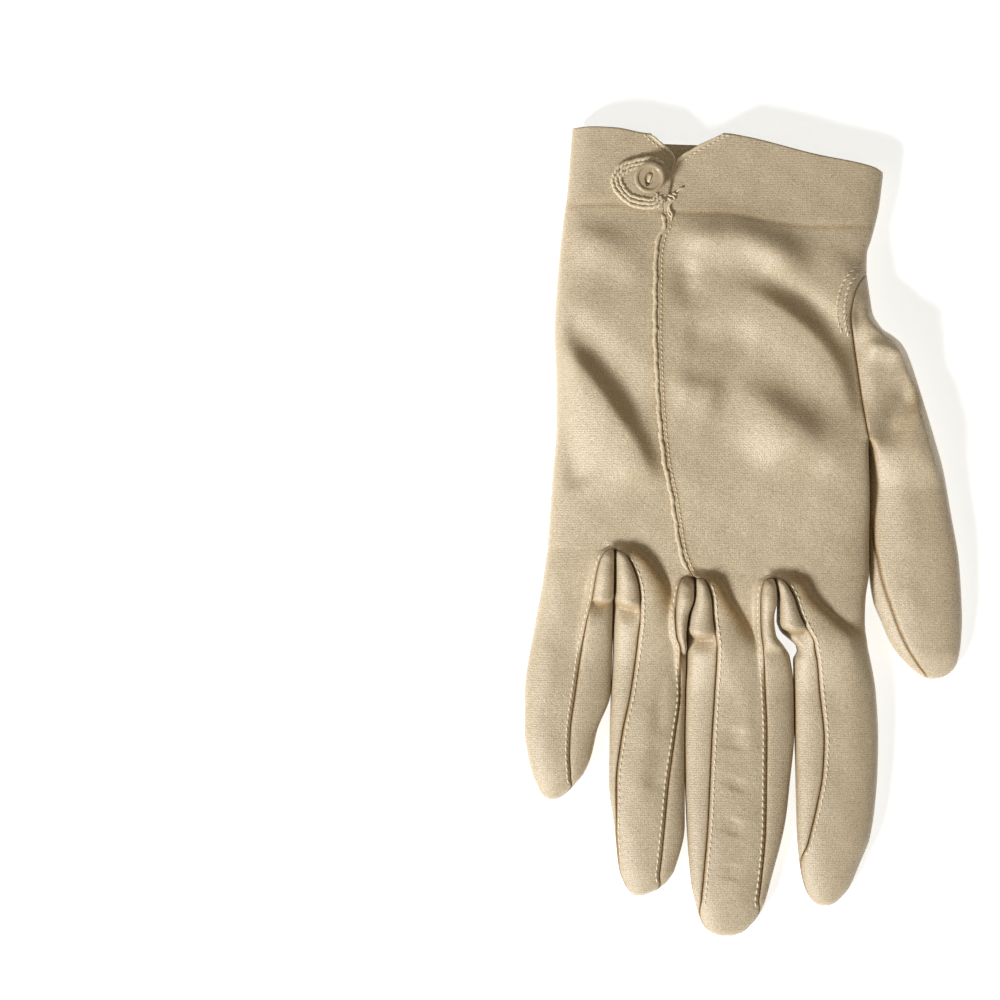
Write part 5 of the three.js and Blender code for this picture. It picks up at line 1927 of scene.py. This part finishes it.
@dataclass
class Seams:
    """The raised centre seam, all stitch rows, and the loose thread ends by the tab."""

    back: dict[str, Grid]

    def line(self, finger: str, distance: float, low: float, high: float = math.inf) -> Array:
        """Line along the middle of the back, on the ring or the middle finger's strip."""
        path = self.back[finger].path(distance, Side.RIGHT if finger == "ring" else Side.LEFT)
        return path[(path[:, 1] > low) & (path[:, 1] < high)]

    def build_welt(self, material: Material) -> None:
        """Build the centre seam's welt in its thread: a low half-round ridge that wanders a little."""
        path = self.line("ring", 0.75, FORK_CLEAR_Y, WELT_START_Y)
        length, turn = length_along(path), circle(12)
        width = 0.6 + 0.1 * np.sin(1.7 * length) + 0.12 * np.sin(4.3 * length + 1.0)
        height = 0.42 + 0.1 * np.sin(2.3 * length + 0.6) + 0.12 * np.sin(5.1 * length)
        height = height + 0.06 * np.sin(8.7 * length)
        ends = end_taper(length, 1.5, 0.2)
        across = width * ends * np.cos(turn) + 0.12 * np.sin(0.9 * length) + 0.08 * np.sin(3.1 * length)
        up = np.maximum(height * ends * np.sin(turn), -0.2) + 0.1
        piece = add_mesh("centre_seam_welt", *carried_profile(path, across, up))
        dress(piece, material, Finish.SEAM, "centre_seam_welt")

    def stitch_rows(self) -> list[StitchRow]:
        """All rows of stitches, each on the surface that it is sewn through."""
        rows = []
        for finger in FINGERS.values():
            for side in finger.strip_sides():
                path = self.back[finger.name].path(1.15, side)
                below = finger.fork_y - path[:, 1] + (finger.tilt if side is Side.LEFT else 0.0)
                rows.append(StitchRow(path[(below > 1.0) & (path[:, 1] > finger.end(side) - 1.0)]))
        path = self.line("middle", 1.0, FORK_CLEAR_Y, WELT_START_Y - 3.0)
        rows.append(StitchRow(path, pitch=1.45, length=1.05, width=0.4))
        for distance in (0.7, 2.3):
            for finger in ("ring", "middle"):
                path = self.line(finger, distance, NOTCH_STITCH_Y)
                rows.append(StitchRow(path, pitch=1.5, length=1.25, width=0.42, lean=0.25))
        for knots in ARC_ROWS:
            path = laid([self.back["index"]], knots, 20 * len(knots), 0.05)
            rows.append(StitchRow(path, pitch=1.7, lean=0.5))
        return rows

    def build_notch_cords(self, material: Material) -> None:
        """Build the corded edges of the notch and of the slit under it, in their thread."""
        parts = []
        for finger in ("ring", "middle"):
            path = self.line(finger, 0.3, NOTCH_FOOT_Y, NOTCH_TOP_Y)
            length = length_along(path)
            size = 0.4 + 0.07 * np.sin(4.2 * length) + 0.04 * np.sin(9.1 * length)
            parts.append(round_cord(path, size * end_taper(length, 0.8, 0.3), lift=0.05))
        dress(add_mesh("notch_cords", *join_meshes(parts)), material, Finish.SEAM)

    def build_stitches(self, material: Material) -> None:
        """Build all the stitches as one piece, in their thread."""
        mesh = join_meshes([row.mesh() for row in self.stitch_rows()])
        dress(add_mesh("stitch_rows", *mesh), material, Finish.SEAM)

    def build_thread_ends(self, material: Material) -> None:
        """Build the frayed thread ends at the root of the tab, as thin loops of a thread."""
        grids = [self.back["ring"], self.back["middle"]]
        lift = 0.3 + 0.3 * np.sin(math.pi * np.linspace(0.0, 1.0, 30))
        mesh = join_meshes([round_cord(laid(grids, knots, 30, lift), 0.26) for knots in THREAD_ENDS])
        dress(add_mesh("loose_thread_ends", *mesh), material, Finish.SEAM)


@dataclass(frozen=True)
class Studio:
    """Pale floor, soft lights and the camera straight above the middle of the picture."""

    view_x: float = -69.0
    view_y: float = 9.3
    view_width: float = 285.0
    camera_height: float = 1100.0
    glove_level: float = 4.6
    floor_size: float = 3.0
    floor_glow: float = 0.68
    surround: float = 0.2

    def build(self) -> None:
        """Make the floor, the camera and the lights."""
        self.build_floor()
        self.build_camera()
        self.build_light("key", (-1.9, -1.75, 1.8), 0.7, 118.0, (0.99, 0.985, 0.98))
        self.build_light("fill", (0.1, 0.2, 2.2), 2.2, 4.0, (1.0, 0.9, 0.72))
        world = bpy.data.worlds.new("studio")
        world.use_nodes = True
        background = world.node_tree.nodes["Background"]
        background.inputs["Color"].default_value = (1.0, 0.86, 0.64, 1.0)
        background.inputs["Strength"].default_value = self.surround
        bpy.context.scene.world = world
        bpy.context.scene.view_settings.view_transform = "Standard"

    def build_floor(self) -> None:
        """Make the floor: a wide sheet under the glove, with a faint paper grain."""
        half = self.floor_size / 2.0 / MM
        corners = np.array([[-half, -half, 0.0], [half, -half, 0.0], [half, half, 0.0], [-half, half, 0.0]])
        corners[:, 2] = FLOOR_LEVEL
        floor = add_mesh("floor", corners, np.array([[0, 1, 2, 3]]))
        canvas, shader = new_material("floor_white")
        grain = canvas.noise(6.0, 1.0, canvas.add("ShaderNodeTexCoord").outputs["Object"])
        paper = canvas.blend(grain, (0.93, 0.93, 0.93, 1.0), (0.96, 0.96, 0.96, 1.0))
        names = ("Base Color", "Roughness", "Emission Color", "Emission Strength")
        canvas.feed(shader, names, (paper, 0.9, (0.93, 0.97, 1.0, 1.0), self.floor_glow))
        floor.data.materials.append(canvas.material)

    def build_camera(self) -> None:
        """Make the camera: the picture is `view_width` wide at the level of the glove's widest place."""
        data = bpy.data.cameras.new("camera")
        data.lens = data.sensor_width * self.camera_height / self.view_width
        camera = bpy.data.objects.new("camera", data)
        camera.location = (self.view_x * MM, self.view_y * MM, (self.camera_height + self.glove_level) * MM)
        bpy.context.scene.collection.objects.link(camera)
        bpy.context.scene.camera = camera

    def build_light(
        self,
        name: str,
        place: tuple[float, float, float],
        size: float,
        power: float,
        colour: tuple[float, float, float],
    ) -> None:
        """Make an area light that faces the glove.

        Args:
            name: Its name.
            place: Where it is, in metres from the glove's middle.
            size: Width of the square in metres.
            power: Watts.
            colour: Its tint.
        """
        data = bpy.data.lights.new(name, "AREA")
        data.size = size
        data.energy = power
        data.color = colour
        light = bpy.data.objects.new(name, data)
        light.location = place
        flat = math.hypot(place[0], place[1])
        light.rotation_euler = (0.0, math.atan2(flat, place[2]), math.atan2(place[1], place[0]))
        bpy.context.scene.collection.objects.link(light)


class Glove:
    """The whole glove, built from the cuff panels to the button."""

    def build(self) -> None:
        """Build and dress every piece in order."""
        cloth = KnitFinish("beige_knit").material()
        tab_cloth = KnitFinish("tab_knit", light=(0.60, 0.50, 0.34, 1.0)).material()
        thread = ThreadFinish("cream_thread").material()
        little, index, palm = panels = (
            self.panel("back_little_side", {LITTLE: 52, RING: 40}, (0.068, 0.219, 0.0094)),
            self.panel("back_index_side", {MIDDLE: 52, INDEX: 60}, (0.085, 0.229, 0.0127)),
            self.panel("palm", {LITTLE: 22, RING: 16, MIDDLE: 16, INDEX: 24}, (0.104, 0.231, 0.0190)),
        )
        for panel in panels:
            panel.build(cloth)
        backs = {**little.strips, **index.strips}
        self.build_strips(backs, cloth)
        Thumb((0.034, 0.115, 0.0027), (0.030, 0.115, 0.0023)).build(cloth)
        Hem("hem_little_side", (0.033, 0.022)).build(little, cloth)
        Hem("hem_index_side", (0.060, 0.022)).build(index, cloth)
        Hem("hem_palm", (0.092, 0.022), rows=22).build(palm, cloth)
        cord = ThreadFinish("seam_cord", (0.78, 0.68, 0.50, 1.0), (0.54, 0.44, 0.29, 1.0)).material()
        seams = Seams(backs)
        seams.build_welt(cord)
        seams.build_notch_cords(cord)
        seams.build_stitches(thread)
        seams.build_thread_ends(thread)
        near = [backs["little"], backs["ring"], backs["middle"]]
        fastening = Fastening()
        fastening.build_tab(near, tab_cloth)
        fastening.build_ridges(near, cord)
        fastening.build_button(near, ShellFinish("button_shell").material())
        fastening.build_thread(near, thread)

    def panel(self, name: str, columns: dict[FingerForm, int], flat: tuple[float, float, float]) -> HandPanel:
        """Plan a panel.

        Args:
            name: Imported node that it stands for.
            columns: Number of columns of each finger's strip.
            flat: Width and length in metres, then the cut area.

        Returns:
            The panel, on the back unless it is the palm.
        """
        plans = tuple(StripPlan(finger, count) for finger, count in columns.items())
        if name == "palm":
            return HandPanel(name, plans, Face.PALM, flat, hand_steps=110)
        return HandPanel(name, plans, Face.BACK, flat)

    def build_strips(self, backs: dict[str, Grid], cloth: Material) -> None:
        """Build the six side strips between the fingers.

        Args:
            backs: Surfaces of the fingers' backs.
            cloth: Their material.
        """
        for finger, side, node, lobe_end, width, pocket in (
            (LITTLE, Side.RIGHT, "fourchette_little_inner", HOODS[0].left_lobe, 0.0135, 2.2),
            (RING, Side.LEFT, "fourchette_ring_outer", HOODS[0].right_lobe, 0.0125, 2.2),
            (RING, Side.RIGHT, "fourchette_ring_inner", HOODS[1].left_lobe, 0.0125, 2.2),
            (MIDDLE, Side.LEFT, "fourchette_middle_outer", HOODS[1].right_lobe, 0.015, 2.2),
            (MIDDLE, Side.RIGHT, "fourchette_middle_inner", HOODS[2].left_lobe, 0.015, 0.5),
            (INDEX, Side.LEFT, "fourchette_index_inner", HOODS[2].right_lobe, 0.014, 2.2),
        ):
            length = (finger.fork_y + finger.tilt - finger.strip_end) * MM
            SideStrip(finger, side, backs[finger.name], lobe_end, (width, length), pocket).build(cloth, node)


def main() -> None:
    """Load the frame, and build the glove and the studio."""
    logging.basicConfig(level=logging.INFO, format="%(message)s")
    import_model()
    Studio().build()
    Glove().build()


if __name__ == "__main__":
    main()
